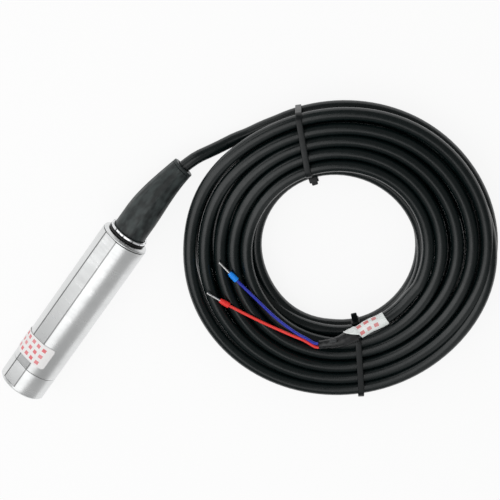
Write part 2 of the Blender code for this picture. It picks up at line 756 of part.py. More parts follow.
def inner_turn_radius(layer):
    # Each layer steps back by half a pitch from the one below
    bottom = COIL_OUTER_DIAMETER / 2 - CABLE_RADIUS - TURN_PITCH * (BOTTOM_TURNS - 1)
    return bottom + TURN_PITCH / 2 * layer


def on_coil(degrees, radius, height):
    angle = math.radians(degrees)
    across = radius * math.cos(angle)
    return Vector((COIL_CENTRE[0] + across, COIL_CENTRE[1] + radius * math.sin(angle), height))


def arc_points(centre, radius, start, end, steps):
    points = []
    for i in range(steps + 1):
        angle = math.radians(start + (end - start) * i / steps)
        points.append((centre[0] + radius * math.cos(angle), centre[1] + radius * math.sin(angle)))
    return points


def cable_coil(jacket, datum):
    # Turned ring of the coil's outer shape, its inner side stepped layer by layer
    outer = COIL_OUTER_DIAMETER / 2 - CABLE_RADIUS
    top = LAYERS - 1
    profile = arc_points((outer, layer_height(0)), CABLE_RADIUS, -90, 0, ARC_STEPS)
    profile += arc_points((outer, layer_height(top)), CABLE_RADIUS, 0, 90, ARC_STEPS)
    profile += arc_points((inner_turn_radius(top), layer_height(top)), CABLE_RADIUS, 90, 180, ARC_STEPS)
    for layer in range(top - 1, 0, -1):
        profile += arc_points((inner_turn_radius(layer), layer_height(layer)), CABLE_RADIUS,
                              STEP_ARC_START, 180, ARC_STEPS)
    profile += arc_points((inner_turn_radius(0), layer_height(0)), CABLE_RADIUS,
                          STEP_ARC_START, 270, 2 * ARC_STEPS)
    rings = []
    for i in range(COIL_FACETS):
        degrees = 360.0 * i / COIL_FACETS
        rings.append([on_coil(degrees, radius, height) for radius, height in profile])
    return lofted("cable_coil", rings, True, jacket, datum)


def cable_lead_in(jacket, datum):
    # Through the plug and the boot, then out to where the cable meets the coil
    lift = Vector((0, 0, AXIS_HEIGHT))
    inside = [cable_axis(CABLE_START + (BOOT_END - CABLE_START) * i / 10) + lift for i in range(11)]
    route = smooth_route(inside + [Vector(point) for point in LEAD_IN_ROUTE], LEAD_IN_SPACING)
    centre = Vector((*COIL_CENTRE, 0))
    limit = COIL_OUTER_DIAMETER / 2 + CABLE_RADIUS + CLEARANCE
    while ((route[-1] - centre).xy.length < limit) and len(route) > 2:
        last, before = route[-1], route[-2]
        if (before - centre).xy.length < limit:
            route.pop()
            continue
        near, far = 0.0, 1.0
        for _ in range(20):
            share = (near + far) / 2
            if (before.lerp(last, share) - centre).xy.length < limit:
                far = share
            else:
                near = share
        route[-1] = before.lerp(last, near)
        break
    return tube("cable_lead_in", route, CABLE_RADIUS, jacket, datum)


def tail_points():
    return smooth_route([on_coil(*place) for place in TAIL_ROUTE], CABLE_RADIUS / 4)


def path_length(points):
    return sum((second - first).length for first, second in zip(points, points[1:]))


def cut_path(points, start, end):
    # Stretch of a path between two distances along it
    kept = []
    travelled = 0.0
    for first, second in zip(points, points[1:]):
        step = (second - first).length
        for wanted in (start, end):
            if travelled <= wanted < travelled + step:
                kept.append(first.lerp(second, (wanted - travelled) / step))
        travelled += step
        if start < travelled < end:
            kept.append(second)
    return kept


def thin_out(points, spacing):
    count = max(2, round(path_length(points) / spacing) + 1)
    kept = [points[0]]
    for i in range(1, count - 1):
        kept.append(cut_path(points, path_length(points) * i / (count - 1), 10.0)[0])
    return kept + [points[-1]]


def cable_tail(jacket, datum):
    points = tail_points()
    end = path_length(points) - SLEEVE_LENGTH - CLEARANCE
    route = thin_out(cut_path(points, 0.0, end), TAIL_SPACING)
    return tube("cable_tail", route, CABLE_RADIUS, jacket, datum)


def sleeve_radius(share):
    start = CABLE_RADIUS + SLEEVE_WALL
    eased = share * share * (3 - 2 * share)
    return start + (SLEEVE_TIP_DIAMETER / 2 - start) * eased


def end_sleeve(shrink, datum):
    # Shrunk sleeve over the cable's end, which narrows to the wires
    points = tail_points()
    total = path_length(points)
    path = thin_out(cut_path(points, total - SLEEVE_LENGTH, total), SLEEVE_LENGTH / 10)
    rings = []
    for i, point in enumerate(path):
        direction = path[min(i + 1, len(path) - 1)] - path[max(i - 1, 0)]
        rings.append(section_ring(point, direction, sleeve_radius(i / (len(path) - 1)), SMALL_FACETS))
    lofted("end_sleeve", rings, False, shrink, datum)
    return path


def vent_tube_tip(grey, sleeve_path, datum):
    # Short end of the vent tube, beside the sleeve
    stretch = cut_path(sleeve_path, VENT_TUBE_STATION, VENT_TUBE_STATION + VENT_TUBE_LENGTH)
    along = (stretch[-1] - stretch[0]).normalized()
    inward = Vector((COIL_CENTRE[0] - stretch[0].x, COIL_CENTRE[1] - stretch[0].y, 0)).normalized()
    up = Vector((0, 0, 1))
    share = VENT_TUBE_STATION / SLEEVE_LENGTH
    off = sleeve_radius(share) + CLEARANCE + VENT_TUBE_DIAMETER / 2
    start = stretch[0] + off * (math.cos(VENT_TUBE_TILT) * inward + math.sin(VENT_TUBE_TILT) * up)
    route = [start, start + along * VENT_TUBE_LENGTH]
    return tube("vent_tube_tip", route, VENT_TUBE_DIAMETER / 2, grey, datum)


def cable_label(foil, datum):
    # Foil strip bent over the cable, open underneath
    points = tail_points()
    end = path_length(points) - SLEEVE_LENGTH - CABLE_LABEL_SETBACK
    stretch = cut_path(points, end - CABLE_LABEL_LENGTH, end)
    path = thin_out(stretch, CABLE_LABEL_LENGTH / LABEL_RINGS)
    inner = CABLE_RADIUS + SKIN_GAP
    outer = inner + CABLE_LABEL_THICKNESS
    rings = []
    for i, point in enumerate(path):
        direction = (path[min(i + 1, len(path) - 1)] - path[max(i - 1, 0)]).normalized()
        outward = Vector((point.x - COIL_CENTRE[0], point.y - COIL_CENTRE[1], 0)).normalized()
        outward = (outward - outward.dot(direction) * direction).normalized()
        up = direction.cross(outward)
        if up.z < 0:
            up = -up
        shares = [k / LABEL_ARC_STEPS for k in range(LABEL_ARC_STEPS + 1)]
        angles = [math.pi / 2 + CABLE_LABEL_WRAP * (0.5 - share) for share in shares]
        under = [point + inner * (math.cos(a) * outward + math.sin(a) * up) for a in angles]
        over = [point + outer * (math.cos(a) * outward + math.sin(a) * up) for a in angles]
        rings.append(under + over[::-1])
    return lofted("cable_label", rings, False, foil, datum)


def wire_with_ferrule(colour_name, route, aim, leaving, wire_material, collar_material, tin, datum):
    points = smooth_route(leaving + [Vector(point) for point in route], WIRE_SPACING)
    tube(f"{colour_name}_wire", points, WIRE_DIAMETER / 2, wire_material, datum)
    start = points[-1]
    aim = (Vector(aim) - start).normalized()
    collar_start = start + aim * CLEARANCE
    collar_end = collar_start + aim * FERRULE_COLLAR_LENGTH
    pin_start = collar_end + aim * CLEARANCE
    wide = FERRULE_COLLAR_DIAMETER / 2
    narrow = FERRULE_PIN_DIAMETER
    neck = collar_start.lerp(collar_end, FERRULE_NECK_SHARE)
    rings = [
        section_ring(collar_start, aim, wide, SMALL_FACETS),
        section_ring(neck, aim, wide * FERRULE_NECK_SCALE, SMALL_FACETS),
        section_ring(collar_end, aim, narrow, SMALL_FACETS),
    ]
    lofted(f"{colour_name}_ferrule_collar", rings, False, collar_material, datum)
    tube(f"{colour_name}_ferrule_pin", [pin_start, pin_start + aim * FERRULE_PIN_LENGTH],
         FERRULE_PIN_DIAMETER / 2, tin, datum)


def wires(sleeve_path, red, blue, red_collar, blue_collar, tin, datum):
    along = (sleeve_path[-1] - sleeve_path[-2]).normalized()
    side = along.cross(Vector((0, 0, 1))).normalized()
    front = sleeve_path[-1] + along * CLEARANCE
    for name, shift, route, aim, core, collar in (
            ("red", -WIRE_TIP_SPREAD, RED_ROUTE, RED_FERRULE_AIM, red, red_collar),
            ("blue", WIRE_TIP_SPREAD, BLUE_ROUTE, BLUE_FERRULE_AIM, blue, blue_collar)):
        start = front + side * shift
        leaving = [start, start + along * WIRE_DIAMETER]
        wire_with_ferrule(name, route, aim, leaving, core, collar, tin, datum)


def cable_tie(number, degrees, stub, plastic, datum):
    # One loop of strap round the coil's section, with its head on the inner wall
    outer = COIL_OUTER_DIAMETER / 2 - CABLE_RADIUS
    top = LAYERS - 1
    corners = [(outer, layer_height(0)), (outer, layer_height(top)),
               (inner_turn_radius(top), layer_height(top)), (inner_turn_radius(0), layer_height(0))]
    near = rounded_outline(corners, CABLE_RADIUS + CLEARANCE, TIE_ARC_STEPS)
    far = rounded_outline(corners, CABLE_RADIUS + CLEARANCE + TIE_THICKNESS, TIE_ARC_STEPS)
    angle = math.radians(degrees)
    along = Vector((-math.sin(angle), math.cos(angle), 0))
    rings = []
    for a, b in zip(near, far):
        low = on_coil(degrees, *a)
        high = on_coil(degrees, *b)
        half = along * TIE_WIDTH / 2
        rings.append([low - half, low + half, high + half, high - half])
    tie = lofted(f"cable_tie_{number}", rings, True, plastic, datum)
    # Head and cut tail, square to the sloping inner wall
    base = Vector(corners[3]).lerp(Vector(corners[2]), TIE_HEAD_LIFT)
    slope = (Vector(corners[2]) - Vector(corners[3])).normalized()
    out = Vector((-slope.y, slope.x))
    reach = CABLE_RADIUS + CLEARANCE + TIE_THICKNESS / 2
    place = Matrix.Translation(on_coil(degrees, base.x, base.y)) @ Matrix((
        (out.x * math.cos(angle), -along.x, slope.x * math.cos(angle), 0),
        (out.x * math.sin(angle), -along.y, slope.x * math.sin(angle), 0),
        (out.y, 0, slope.y, 0),
        (0, 0, 0, 1),
    ))
    head = box(f"tie_head_{number}", (reach, -TIE_HEAD[1] / 2, -TIE_HEAD[2] / 2),
               (reach + TIE_HEAD[0], TIE_HEAD[1] / 2, TIE_HEAD[2] / 2), None, datum)
    head.data.transform(place)
    tail = box(f"tie_stub_{number}", (reach + TIE_HEAD[0] / 2, -TIE_WIDTH / 2, -TIE_THICKNESS / 2),
               (reach + TIE_HEAD[0] + stub, TIE_WIDTH / 2, TIE_THICKNESS / 2), None, datum)
    tail.data.transform(place)
    combine(tie, head, "UNION")
    combine(tie, tail, "UNION")
    return tie


def build():
    clear_scene()
    steel = make_material("satin_steel", (0.74, 0.75, 0.76), 0.28, 1.0)
    bright = make_material("polished_steel", (0.82, 0.83, 0.84), 0.12, 1.0)
    foil = make_material("diaphragm_steel", (0.78, 0.78, 0.77), 0.2, 1.0)
    gold = make_material("gold_pin", (0.83, 0.64, 0.28), 0.25, 1.0)
    rubber = make_material("black_rubber", (0.022, 0.026, 0.027), 0.45, 0.0)
    seal_rubber = make_material("seal_rubber", (0.012, 0.012, 0.012), 0.5, 0.0)
    jacket = make_material("black_jacket", (0.016, 0.019, 0.020), 0.38, 0.0)
    shrink = make_material("shrink_sleeve", (0.03, 0.034, 0.035), 0.5, 0.0)
    tie_plastic = make_material("tie_plastic", (0.014, 0.015, 0.016), 0.35, 0.0)
    carrier_plastic = make_material("carrier_plastic", (0.62, 0.60, 0.55), 0.5, 0.0)
    laminate = make_material("board_laminate", (0.02, 0.16, 0.07), 0.4, 0.0)
    chip_plastic = make_material("chip_plastic", (0.02, 0.02, 0.022), 0.45, 0.0)
    can = make_material("capacitor_can", (0.7, 0.71, 0.72), 0.3, 1.0)
    terminal_plastic = make_material("terminal_plastic", (0.03, 0.25, 0.10), 0.45, 0.0)
    vent_plastic = make_material("vent_plastic", (0.16, 0.17, 0.17), 0.45, 0.0)
    label_foil = make_material("label_foil", (0.80, 0.80, 0.79), 0.35, 0.0)
    sticker_paper = make_material("sticker_paper", (0.86, 0.85, 0.84), 0.4, 0.0)
    red = make_material("red_insulation", (0.62, 0.02, 0.015), 0.4, 0.0)
    blue = make_material("blue_insulation", (0.015, 0.05, 0.42), 0.4, 0.0)
    red_collar = make_material("red_collar", (0.70, 0.025, 0.02), 0.35, 0.0)
    blue_collar = make_material("blue_collar", (0.02, 0.16, 0.55), 0.35, 0.0)
    tin = make_material("tinned_copper", (0.75, 0.75, 0.74), 0.25, 1.0)

    reach = max(point.x for ring in boot_rings() for point in ring)
    datum = add_object("nose_datum", None, None, None)
    datum.location = (-reach / 2, 0.0, 0.0)
    axis = add_object("probe_axis", None, None, datum)
    axis.location = (0.0, 0.0, AXIS_HEIGHT)

    nose_cap(steel, axis)
    housing_tube(steel, axis)
    sensor_retaining_ring(steel, axis)
    isolating_diaphragm(foil, axis)
    sensor_capsule(steel, axis)
    sensor_o_ring(seal_rubber, axis)
    header_pins(gold, axis)
    board_carrier("board_carrier_front", CARRIER_START, BOARD_START - CLEARANCE,
                  CARRIER_START + CARRIER_LENGTH + CLEARANCE, carrier_plastic, axis)
    board_carrier("board_carrier_rear", REAR_CARRIER_START, REAR_CARRIER_START - CLEARANCE,
                  BOARD_END + CLEARANCE, carrier_plastic, axis)
    circuit_board(laminate, axis)
    board_parts(chip_plastic, can, terminal_plastic, axis)
    inner_leads(red, blue, axis)
    end_plug(steel, axis)
    plug_o_ring(seal_rubber, axis)
    cable_seal(seal_rubber, axis)
    seal_washer(steel, axis)
    rim_o_ring(seal_rubber, axis)
    clamp_ring(bright, axis)
    rubber_boot(rubber, axis)
    probe_sticker(sticker_paper, axis)

    cable_lead_in(jacket, datum)
    cable_coil(jacket, datum)
    cable_tail(jacket, datum)
    sleeve_path = end_sleeve(shrink, datum)
    vent_tube_tip(vent_plastic, sleeve_path, datum)
    cable_label(label_foil, datum)
    wires(sleeve_path, red, blue, red_collar, blue_collar, tin, datum)
    for number, (degrees, stub) in enumerate(zip(TIE_ANGLES, TIE_STUBS), 1):
        cable_tie(number, degrees, stub, tie_plastic, datum)


build()
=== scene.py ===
# Submersible level transmitter: a steel probe with a moulded boot, on a coiled vented cable.
import math

import bmesh
import bpy
import numpy as np
from mathutils import Matrix, Vector


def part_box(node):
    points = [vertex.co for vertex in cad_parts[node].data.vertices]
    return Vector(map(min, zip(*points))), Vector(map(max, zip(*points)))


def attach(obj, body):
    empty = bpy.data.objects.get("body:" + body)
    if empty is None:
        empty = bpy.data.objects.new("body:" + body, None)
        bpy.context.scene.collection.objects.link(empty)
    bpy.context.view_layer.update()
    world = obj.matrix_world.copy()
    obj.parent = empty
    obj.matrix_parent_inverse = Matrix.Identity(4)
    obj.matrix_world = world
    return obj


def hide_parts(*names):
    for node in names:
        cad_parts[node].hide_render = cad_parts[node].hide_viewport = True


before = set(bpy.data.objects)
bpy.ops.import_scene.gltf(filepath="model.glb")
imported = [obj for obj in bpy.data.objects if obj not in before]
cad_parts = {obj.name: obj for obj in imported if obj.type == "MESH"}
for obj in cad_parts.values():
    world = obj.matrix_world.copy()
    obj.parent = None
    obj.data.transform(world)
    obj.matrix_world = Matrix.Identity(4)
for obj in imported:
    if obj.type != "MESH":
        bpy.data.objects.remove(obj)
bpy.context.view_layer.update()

scene = bpy.context.scene
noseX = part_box("nose_cap")[0][0]  # stations along the probe count from here
axisHeight = 0.014
bodyRadius = 0.014
skinDepth = 0.0011  # what lies this near the body's surface takes the flat
clearance = 0.0003
sideOfFlat = math.radians(51.0)  # from +Y towards +Z
flatDistance = 0.013223
flatHalfAngle = math.radians(19.2)
flatGroove = {"depth": 0.00015, "halfWidth": 0.035, "paintedShade": (1.0, 0.75)}  # width in radians of the probe's turn; the pair sets the painted shade in the groove at each edge of the flat

print("camera")
cameraView = {
    "place": (0.405864, 0.150937, 1.084170),
    "forward": (-0.30113, -0.18564, -0.93534),
    "right": (0.56444, -0.82528, -0.01792),
    "lens": 146.9,
    "sensor": 36.0,
}


def makeCamera(view):
    back = -Vector(view["forward"]).normalized()
    right = Vector(view["right"]).normalized()
    up = back.cross(right)
    data = bpy.data.cameras.new("photoCamera")
    data.lens = view["lens"]
    data.sensor_width = view["sensor"]
    data.clip_end = 20.0
    item = bpy.data.objects.new("photoCamera", data)
    scene.collection.objects.link(item)
    turn = Matrix((right, up, back)).transposed().to_4x4()
    item.matrix_world = Matrix.Translation(view["place"]) @ turn
    scene.camera = item


makeCamera(cameraView)


# mesh helpers: every shape is a grid of points, rows along it and columns across it


def around(count):
    return np.linspace(0.0, 2 * np.pi, count, endpoint=False)


def unit(vectors):
    return vectors / np.linalg.norm(vectors, axis=-1, keepdims=True)


def levelFrame(along):
    # level side and upward side of a direction
    side = unit(np.cross(along, [0.0, 0.0, 1.0]))
    return side, np.cross(side, along)


def rings(centre, radius, side, up, angles):
    # a circle about each centre; the radius has a row for each centre and may have a column for each angle
    turned = np.cos(angles)[:, None] * up[..., None, :] + np.sin(angles)[:, None] * side[..., None, :]
    return centre[:, None] + radius[..., None] * turned


def gridFaces(rows, cols, wrapRows, wrapCols):
    # corner numbers of each square of the grid, and the same corners without wrapping, for the UVs
    r, c = np.meshgrid(np.arange(rows if wrapRows else rows - 1),
                       np.arange(cols if wrapCols else cols - 1), indexing="ij")
    r = r.ravel()[:, None] + np.array([0, 0, 1, 1])
    c = c.ravel()[:, None] + np.array([0, 1, 1, 0])
    return (r % rows) * cols + (c % cols), r, c


def runLength(points, wrap):
    # distance travelled along the first axis of a grid, averaged over the second
    closed = np.concatenate([points, points[:1]]) if wrap else points
    steps = np.linalg.norm(np.diff(closed, axis=0), axis=-1)
    steps = steps.reshape(len(steps), -1).mean(axis=1)
    return np.concatenate([[0.0], np.cumsum(steps)])


def gridPiece(name, points, material, wrapRows=False, wrapCols=True, caps=False, edge=None, groove=None,
              sharp=30.0, uv=None):
    # mesh of a grid, its UVs in metres, its ends closed by fans where caps is set
    points = np.asarray(points, float)
    rows, cols = points.shape[:2]
    faces, r, c = gridFaces(rows, cols, wrapRows, wrapCols)
    if uv is None:
        along = runLength(points, wrapRows)
        around = runLength(points.transpose(1, 0, 2), wrapCols)
        uv = np.stack(np.meshgrid(along, around, indexing="ij"), axis=-1)
    loopUv = uv[r, c].reshape(-1, 2)
    verts = points.reshape(-1, 3)
    faceList = faces.tolist()
    if caps:
        ring = np.arange(cols)
        following = (ring + 1) % cols
        first, last = rows * cols, rows * cols + 1
        verts = np.concatenate([verts, points[0].mean(axis=0)[None], points[-1].mean(axis=0)[None]])
        head = np.stack([following, ring, np.full(cols, first)], axis=1)
        tail = np.stack([ring, following, np.full(cols, last)], axis=1)
        tail[:, :2] += (rows - 1) * cols
        faceList += head.tolist() + tail.tolist()
        loopUv = np.concatenate([loopUv, np.zeros((2 * cols * 3, 2))])
    mesh = bpy.data.meshes.new(name)
    mesh.from_pydata(verts.tolist(), [], faceList)
    mesh.uv_layers.new(name="UVMap").data.foreach_set("uv", loopUv.ravel())
    # edgeMask marks rubbed edges; the groove mask carries painted shade for grooves and notches
    for label, values in (("edgeMask", edge), ("grooveShadeMask", groove)):
        if values is not None:
            mask = np.zeros(len(verts))
            mask[:rows * cols] = np.asarray(values, float).ravel()
            mesh.attributes.new(label, "FLOAT", "POINT").data.foreach_set("value", mask)
    return finishMesh(name, mesh, material, sharp)


def finishMesh(name, mesh, material, sharp):
    work = bmesh.new()
    work.from_mesh(mesh)
    bmesh.ops.remove_doubles(work, verts=work.verts, dist=1e-7)
    bmesh.ops.recalc_face_normals(work, faces=work.faces)
    work.to_mesh(mesh)
    work.free()
    mesh.shade_smooth()
    mesh.set_sharp_from_angle(angle=math.radians(sharp))
    mesh.materials.append(material)
    item = bpy.data.objects.new(name, mesh)
    scene.collection.objects.link(item)
    return item


def place(item, slot, *nodes, body="probe"):
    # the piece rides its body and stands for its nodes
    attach(item, body)
    if nodes:
        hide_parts(*nodes)
    return item


def joined(name, parts):
    # one piece from several of the same material
    work = bmesh.new()
    material = parts[0].data.materials[0]
    for part in parts:
        work.from_mesh(part.data)
        bpy.data.objects.remove(part, do_unlink=True)
    mesh = bpy.data.meshes.new(name)
    work.to_mesh(mesh)
    work.free()
    mesh.materials.append(material)
    item = bpy.data.objects.new(name, mesh)
    scene.collection.objects.link(item)
    return item


def roundCorners(profile, radius, steps=5):
    # each corner of an outline becomes a quadratic arc that starts a radius before it; the mask is 1 mid-arc
    profile = np.asarray(profile, float)
    points, mask = [], []
    count = len(profile)
    t = np.linspace(0.0, 1.0, steps + 1)[:, None]
    for i in range(count):
        corner = profile[i]
        if corner[1] == 0.0:
            points.append(corner[None])
            mask.append(np.zeros(1))
            continue
        before, after = profile[i - 1] - corner, profile[(i + 1) % count] - corner
        lengths = np.linalg.norm(before), np.linalg.norm(after)
        cut = min(radius, 0.35 * min(lengths))
        a, b = corner + before / lengths[0] * cut, corner + after / lengths[1] * cut
        points.append((1 - t) ** 2 * a + 2 * t * (1 - t) * corner + t ** 2 * b)
        mask.append((4 * t * (1 - t))[:, 0])
    return np.concatenate(points), np.concatenate(mask)


def turnAngles(count, flat=False):
    angles = around(count)
    if flat:
        near = flatGroove["halfWidth"] * np.array([-1.6, -1.0, -0.5, 0.0, 0.5, 1.0, 1.6])
        edges = (sideOfFlat + flatHalfAngle * np.array([[-1.0], [1.0]]) + near).ravel()
        angles = np.unique(np.round(np.concatenate([angles, edges]) % (2 * np.pi), 5))
    return angles


def grooveShare(angles):
    # 1 in the middle of the fine groove at each edge of the flat, 0 past its sides
    off = np.abs(np.abs(angles - sideOfFlat) - flatHalfAngle)
    return np.clip(1.0 - off / flatGroove["halfWidth"], 0.0, 1.0)


def revolve(profile, angles, flatFrom=None, dip=0.0):
    # a (station, radius) outline turned about the probe's axis; past flatFrom its outside is cut to the flat
    station, radius = profile[:, 0][:, None], profile[:, 1][:, None]
    radius = radius + 0.0 * angles[None] - dip
    if flatFrom is not None:
        facing = np.cos(angles - sideOfFlat)[None]
        reach = np.where(facing > 0.5, flatDistance / np.maximum(facing, 0.5), 1.0) - (bodyRadius - radius)
        outside = (radius > bodyRadius - skinDepth) & (station > flatFrom)
        radius = np.where(outside, np.minimum(radius, reach) - flatGroove["depth"] * grooveShare(angles), radius)
    return np.stack([station + noseX + 0.0 * radius, radius * np.cos(angles), axisHeight + radius * np.sin(angles)],
                    axis=-1)


def turnedPiece(name, profile, material, rounding=0.0002, count=96, flatFrom=None, sharp=20.0):
    outline, mask = roundCorners(profile, rounding)
    angles = turnAngles(count, flatFrom is not None)
    points = revolve(outline, angles, flatFrom)
    edge = mask[:, None] + 0.0 * angles[None]
    groove = None
    if flatFrom is not None:
        outside = (outline[:, 1] > bodyRadius - skinDepth) & (outline[:, 0] > flatFrom)
        # painted shade for the fine grooves, stronger at the flat's edge nearer +Y
        shade = np.where(angles < sideOfFlat, *flatGroove["paintedShade"]) * np.minimum(1.0, 2.0 * grooveShare(angles))
        groove = shade[None] * outside[:, None]
    return gridPiece(name, points, material, wrapRows=bool(profile[0][1] > 0.0), edge=edge, groove=groove, sharp=sharp)


def smoothRoute(points, steps=12):
    # Catmull-Rom curve: each stretch is a cubic of its four neighbours
    points = np.asarray(points, float)
    ends = np.concatenate([[2 * points[0] - points[1]], points, [2 * points[-1] - points[-2]]])
    a, b, c, d = (ends[i:len(ends) - 3 + i, None, :] for i in range(4))
    t = (np.arange(steps) / steps)[None, :, None]
    fine = 0.5 * (2 * b + (c - a) * t + (2 * a - 5 * b + 4 * c - d) * t ** 2 + (3 * b - a - 3 * c + d) * t ** 3)
    return np.concatenate([fine.reshape(-1, 3), points[-1:]])


def travelled(points):
    return np.concatenate([[0.0], np.cumsum(np.linalg.norm(np.diff(points, axis=0), axis=1))])


def between(points, start, end, spacing):
    # stretch of a path between two distances along it, at even spacing
    distance = travelled(points)
    end = distance[-1] if end is None else end
    wanted = np.linspace(start, end, max(3, int(round((end - start) / spacing)) + 1))
    return np.stack([np.interp(wanted, distance, points[:, i]) for i in range(3)], axis=1)


def tubeGrid(path, radius, sides):
    # circle square to the path at each of its points; the radius may change along it
    reach = np.broadcast_to(np.asarray(radius, float).reshape(-1, 1), (len(path), sides))
    return rings(path, reach, *levelFrame(unit(np.gradient(path, axis=0))), around(sides))


# material helpers: a socket is linked, any other value is set


def feed(tree, item, values):
    for key, value in values.items():
        if isinstance(value, bpy.types.NodeSocket):
            tree.links.new(value, item.inputs[key])
        else:
            item.inputs[key].default_value = value
    return item


def calc(tree, operation, first, second=0.0, clamp=False):
    item = tree.nodes.new("ShaderNodeMath")
    item.operation = operation
    item.use_clamp = clamp
    return feed(tree, item, {0: first, 1: second}).outputs[0]


def times(tree, first, second, clamp=False):
    return calc(tree, "MULTIPLY", first, second, clamp)


def plus(tree, first, second, clamp=False):
    return calc(tree, "ADD", first, second, clamp)


def scaled(tree, vector, factors):
    item = tree.nodes.new("ShaderNodeVectorMath")
    item.operation = "MULTIPLY"
    return feed(tree, item, {0: vector, 1: factors}).outputs[0]


def noise(tree, vector, scale, detail=3.0, roughness=0.55):
    item = tree.nodes.new("ShaderNodeTexNoise")
    values = {"Vector": vector, "Scale": scale, "Detail": detail, "Roughness": roughness}
    return feed(tree, item, values).outputs["Fac"]


def remap(tree, value, low, high, toLow, toHigh):
    item = tree.nodes.new("ShaderNodeMapRange")
    return feed(tree, item, {0: value, 1: low, 2: high, 3: toLow, 4: toHigh}).outputs[0]


def mixColour(tree, factor, first, second):
    item = tree.nodes.new("ShaderNodeMix")
    item.data_type = "RGBA"
    return feed(tree, item, {0: factor, 6: first, 7: second}).outputs[2]


def rgb(colour, share=1.0):
    return (*(min(1.0, share * value) for value in colour), 1.0)


def newGroup(name, inputs, outputs):
    # a value each input starts from, or None for a vector; what comes out is always a plain value
    group = bpy.data.node_groups.new(name, "ShaderNodeTree")
    for label, value in inputs.items():
        kind = "NodeSocketVector" if value is None else "NodeSocketFloat"
        socket = group.interface.new_socket(name=label, in_out="INPUT", socket_type=kind)
        if value is not None:
            socket.default_value = value
    for label in outputs:
        group.interface.new_socket(name=label, in_out="OUTPUT", socket_type="NodeSocketFloat")
    return group, group.nodes.new("NodeGroupInput").outputs, group.nodes.new("NodeGroupOutput")


def useGroup(tree, group, values):
    item = tree.nodes.new("ShaderNodeGroup")
    item.node_tree = group
    return feed(tree, item, values).outputs


def objectCoords(tree):
    return tree.nodes.new("ShaderNodeTexCoord").outputs["Object"]


def uvCoords(tree):
    return tree.nodes.new("ShaderNodeTexCoord").outputs["UV"]


def maskValue(tree, name):
    item = tree.nodes.new("ShaderNodeAttribute")
    item.attribute_name = name
    return item.outputs["Fac"]


print("shader groups")


def makeSurfaceGrain():
    # Fac: middling noise; Height: fine noise for bumps; Patches: slow change over centimetres
    group, given, out = newGroup("surfaceGrain", {"Vector": None, "Scale": 900.0}, ["Fac", "Height", "Patches"])
    fine = noise(group, given["Vector"], given["Scale"], 4.0, 0.6)
    coarse = noise(group, given["Vector"], times(group, given["Scale"], 0.22), 3.0, 0.5)
    slow = noise(group, given["Vector"], times(group, given["Scale"], 0.03), 2.0, 0.5)
    feed(group, out, {"Fac": coarse, "Height": fine, "Patches": slow})
    return group


def makeEdgeWear():
    # an edge's own mask, broken up by noise: 1 where the finish has rubbed through
    group, given, out = newGroup("edgeWear", {"Edge": 0.0, "Vector": None, "Scale": 700.0, "Amount": 0.4}, ["Mask"])
    broken = times(group, noise(group, given["Vector"], given["Scale"], 4.0, 0.6), 0.8)
    level = plus(group, times(group, given["Edge"], 0.7), broken)
    over = calc(group, "SUBTRACT", level, calc(group, "SUBTRACT", 1.45, given["Amount"]))
    feed(group, out, {"Mask": times(group, over, 4.0, clamp=True)})
    return group


def makeTurningMarks():
    # noise that changes fast along the probe and hardly at all round it, as a lathe leaves it
    group, given, out = newGroup("turningMarks", {"Vector": None, "Scale": 1.0}, ["Fac", "Height"])
    stretched = scaled(group, given["Vector"], (1.0, 0.03, 0.03))
    broad = noise(group, stretched, times(group, given["Scale"], 900.0), 3.0, 0.6)
    fine = noise(group, stretched, times(group, given["Scale"], 4200.0), 2.0, 0.6)
    feed(group, out, {"Fac": broad, "Height": plus(group, times(group, broad, 0.5),
                                                   times(group, fine, 0.5))})
    return group


def makeBlockRows():
    # plain blocks at an even pitch in rows: each cell of the UV plane is filled from its middle out
    group, given, out = newGroup("blockRows", {"Vector": None, "Pitch Along": 0.002, "Pitch Across": 0.002,
                                               "Fill Along": 0.6, "Fill Across": 0.5}, ["Mask", "Cell"])
    split = group.nodes.new("ShaderNodeSeparateXYZ")
    feed(group, split, {0: given["Vector"]})
    sides, cells = [], []
    for axis, pitch, fill in ((0, "Pitch Along", "Fill Along"), (1, "Pitch Across", "Fill Across")):
        count = calc(group, "DIVIDE", split.outputs[axis], given[pitch])
        cells.append(calc(group, "FLOOR", count))
        off = calc(group, "ABSOLUTE", calc(group, "SUBTRACT", calc(group, "FRACT", count), 0.5))
        sides.append(calc(group, "LESS_THAN", off, times(group, given[fill], 0.5)))
    number = group.nodes.new("ShaderNodeCombineXYZ")
    feed(group, number, {0: cells[0], 1: cells[1]})
    random = group.nodes.new("ShaderNodeTexWhiteNoise")
    feed(group, random, {"Vector": number.outputs[0]})
    feed(group, out, {"Mask": times(group, sides[0], sides[1]), "Cell": random.outputs["Value"]})
    return group


surfaceGrain = makeSurfaceGrain()
edgeWear = makeEdgeWear()
turningMarks = makeTurningMarks()
blockRows = makeBlockRows()


def newMaterial(name, metallic=0.0, specular=0.5):
    material = bpy.data.materials.new(name)
    material.use_nodes = True
    tree = material.node_tree
    shader = tree.nodes["Principled BSDF"]
    shader.inputs["Metallic"].default_value = metallic
    shader.inputs["Specular IOR Level"].default_value = specular
    return material, tree, shader


def bumpOf(tree, height, distance):
    item = tree.nodes.new("ShaderNodeBump")
    item.inputs["Strength"].default_value = 1.0
    item.inputs["Distance"].default_value = distance
    return feed(tree, item, {"Height": height}).outputs["Normal"]


def wornEdges(tree, coords, scale, amount):
    return useGroup(tree, edgeWear, {"Edge": maskValue(tree, "edgeMask"), "Vector": coords, "Scale": scale,
                                     "Amount": amount})["Mask"]


def spreadRoughness(tree, value, roughness, low=0.3, high=0.7, least=0.85, most=1.2):
    # roughness varied by a noise: from its least share to its most
    return remap(tree, value, low, high, roughness * least, roughness * most)


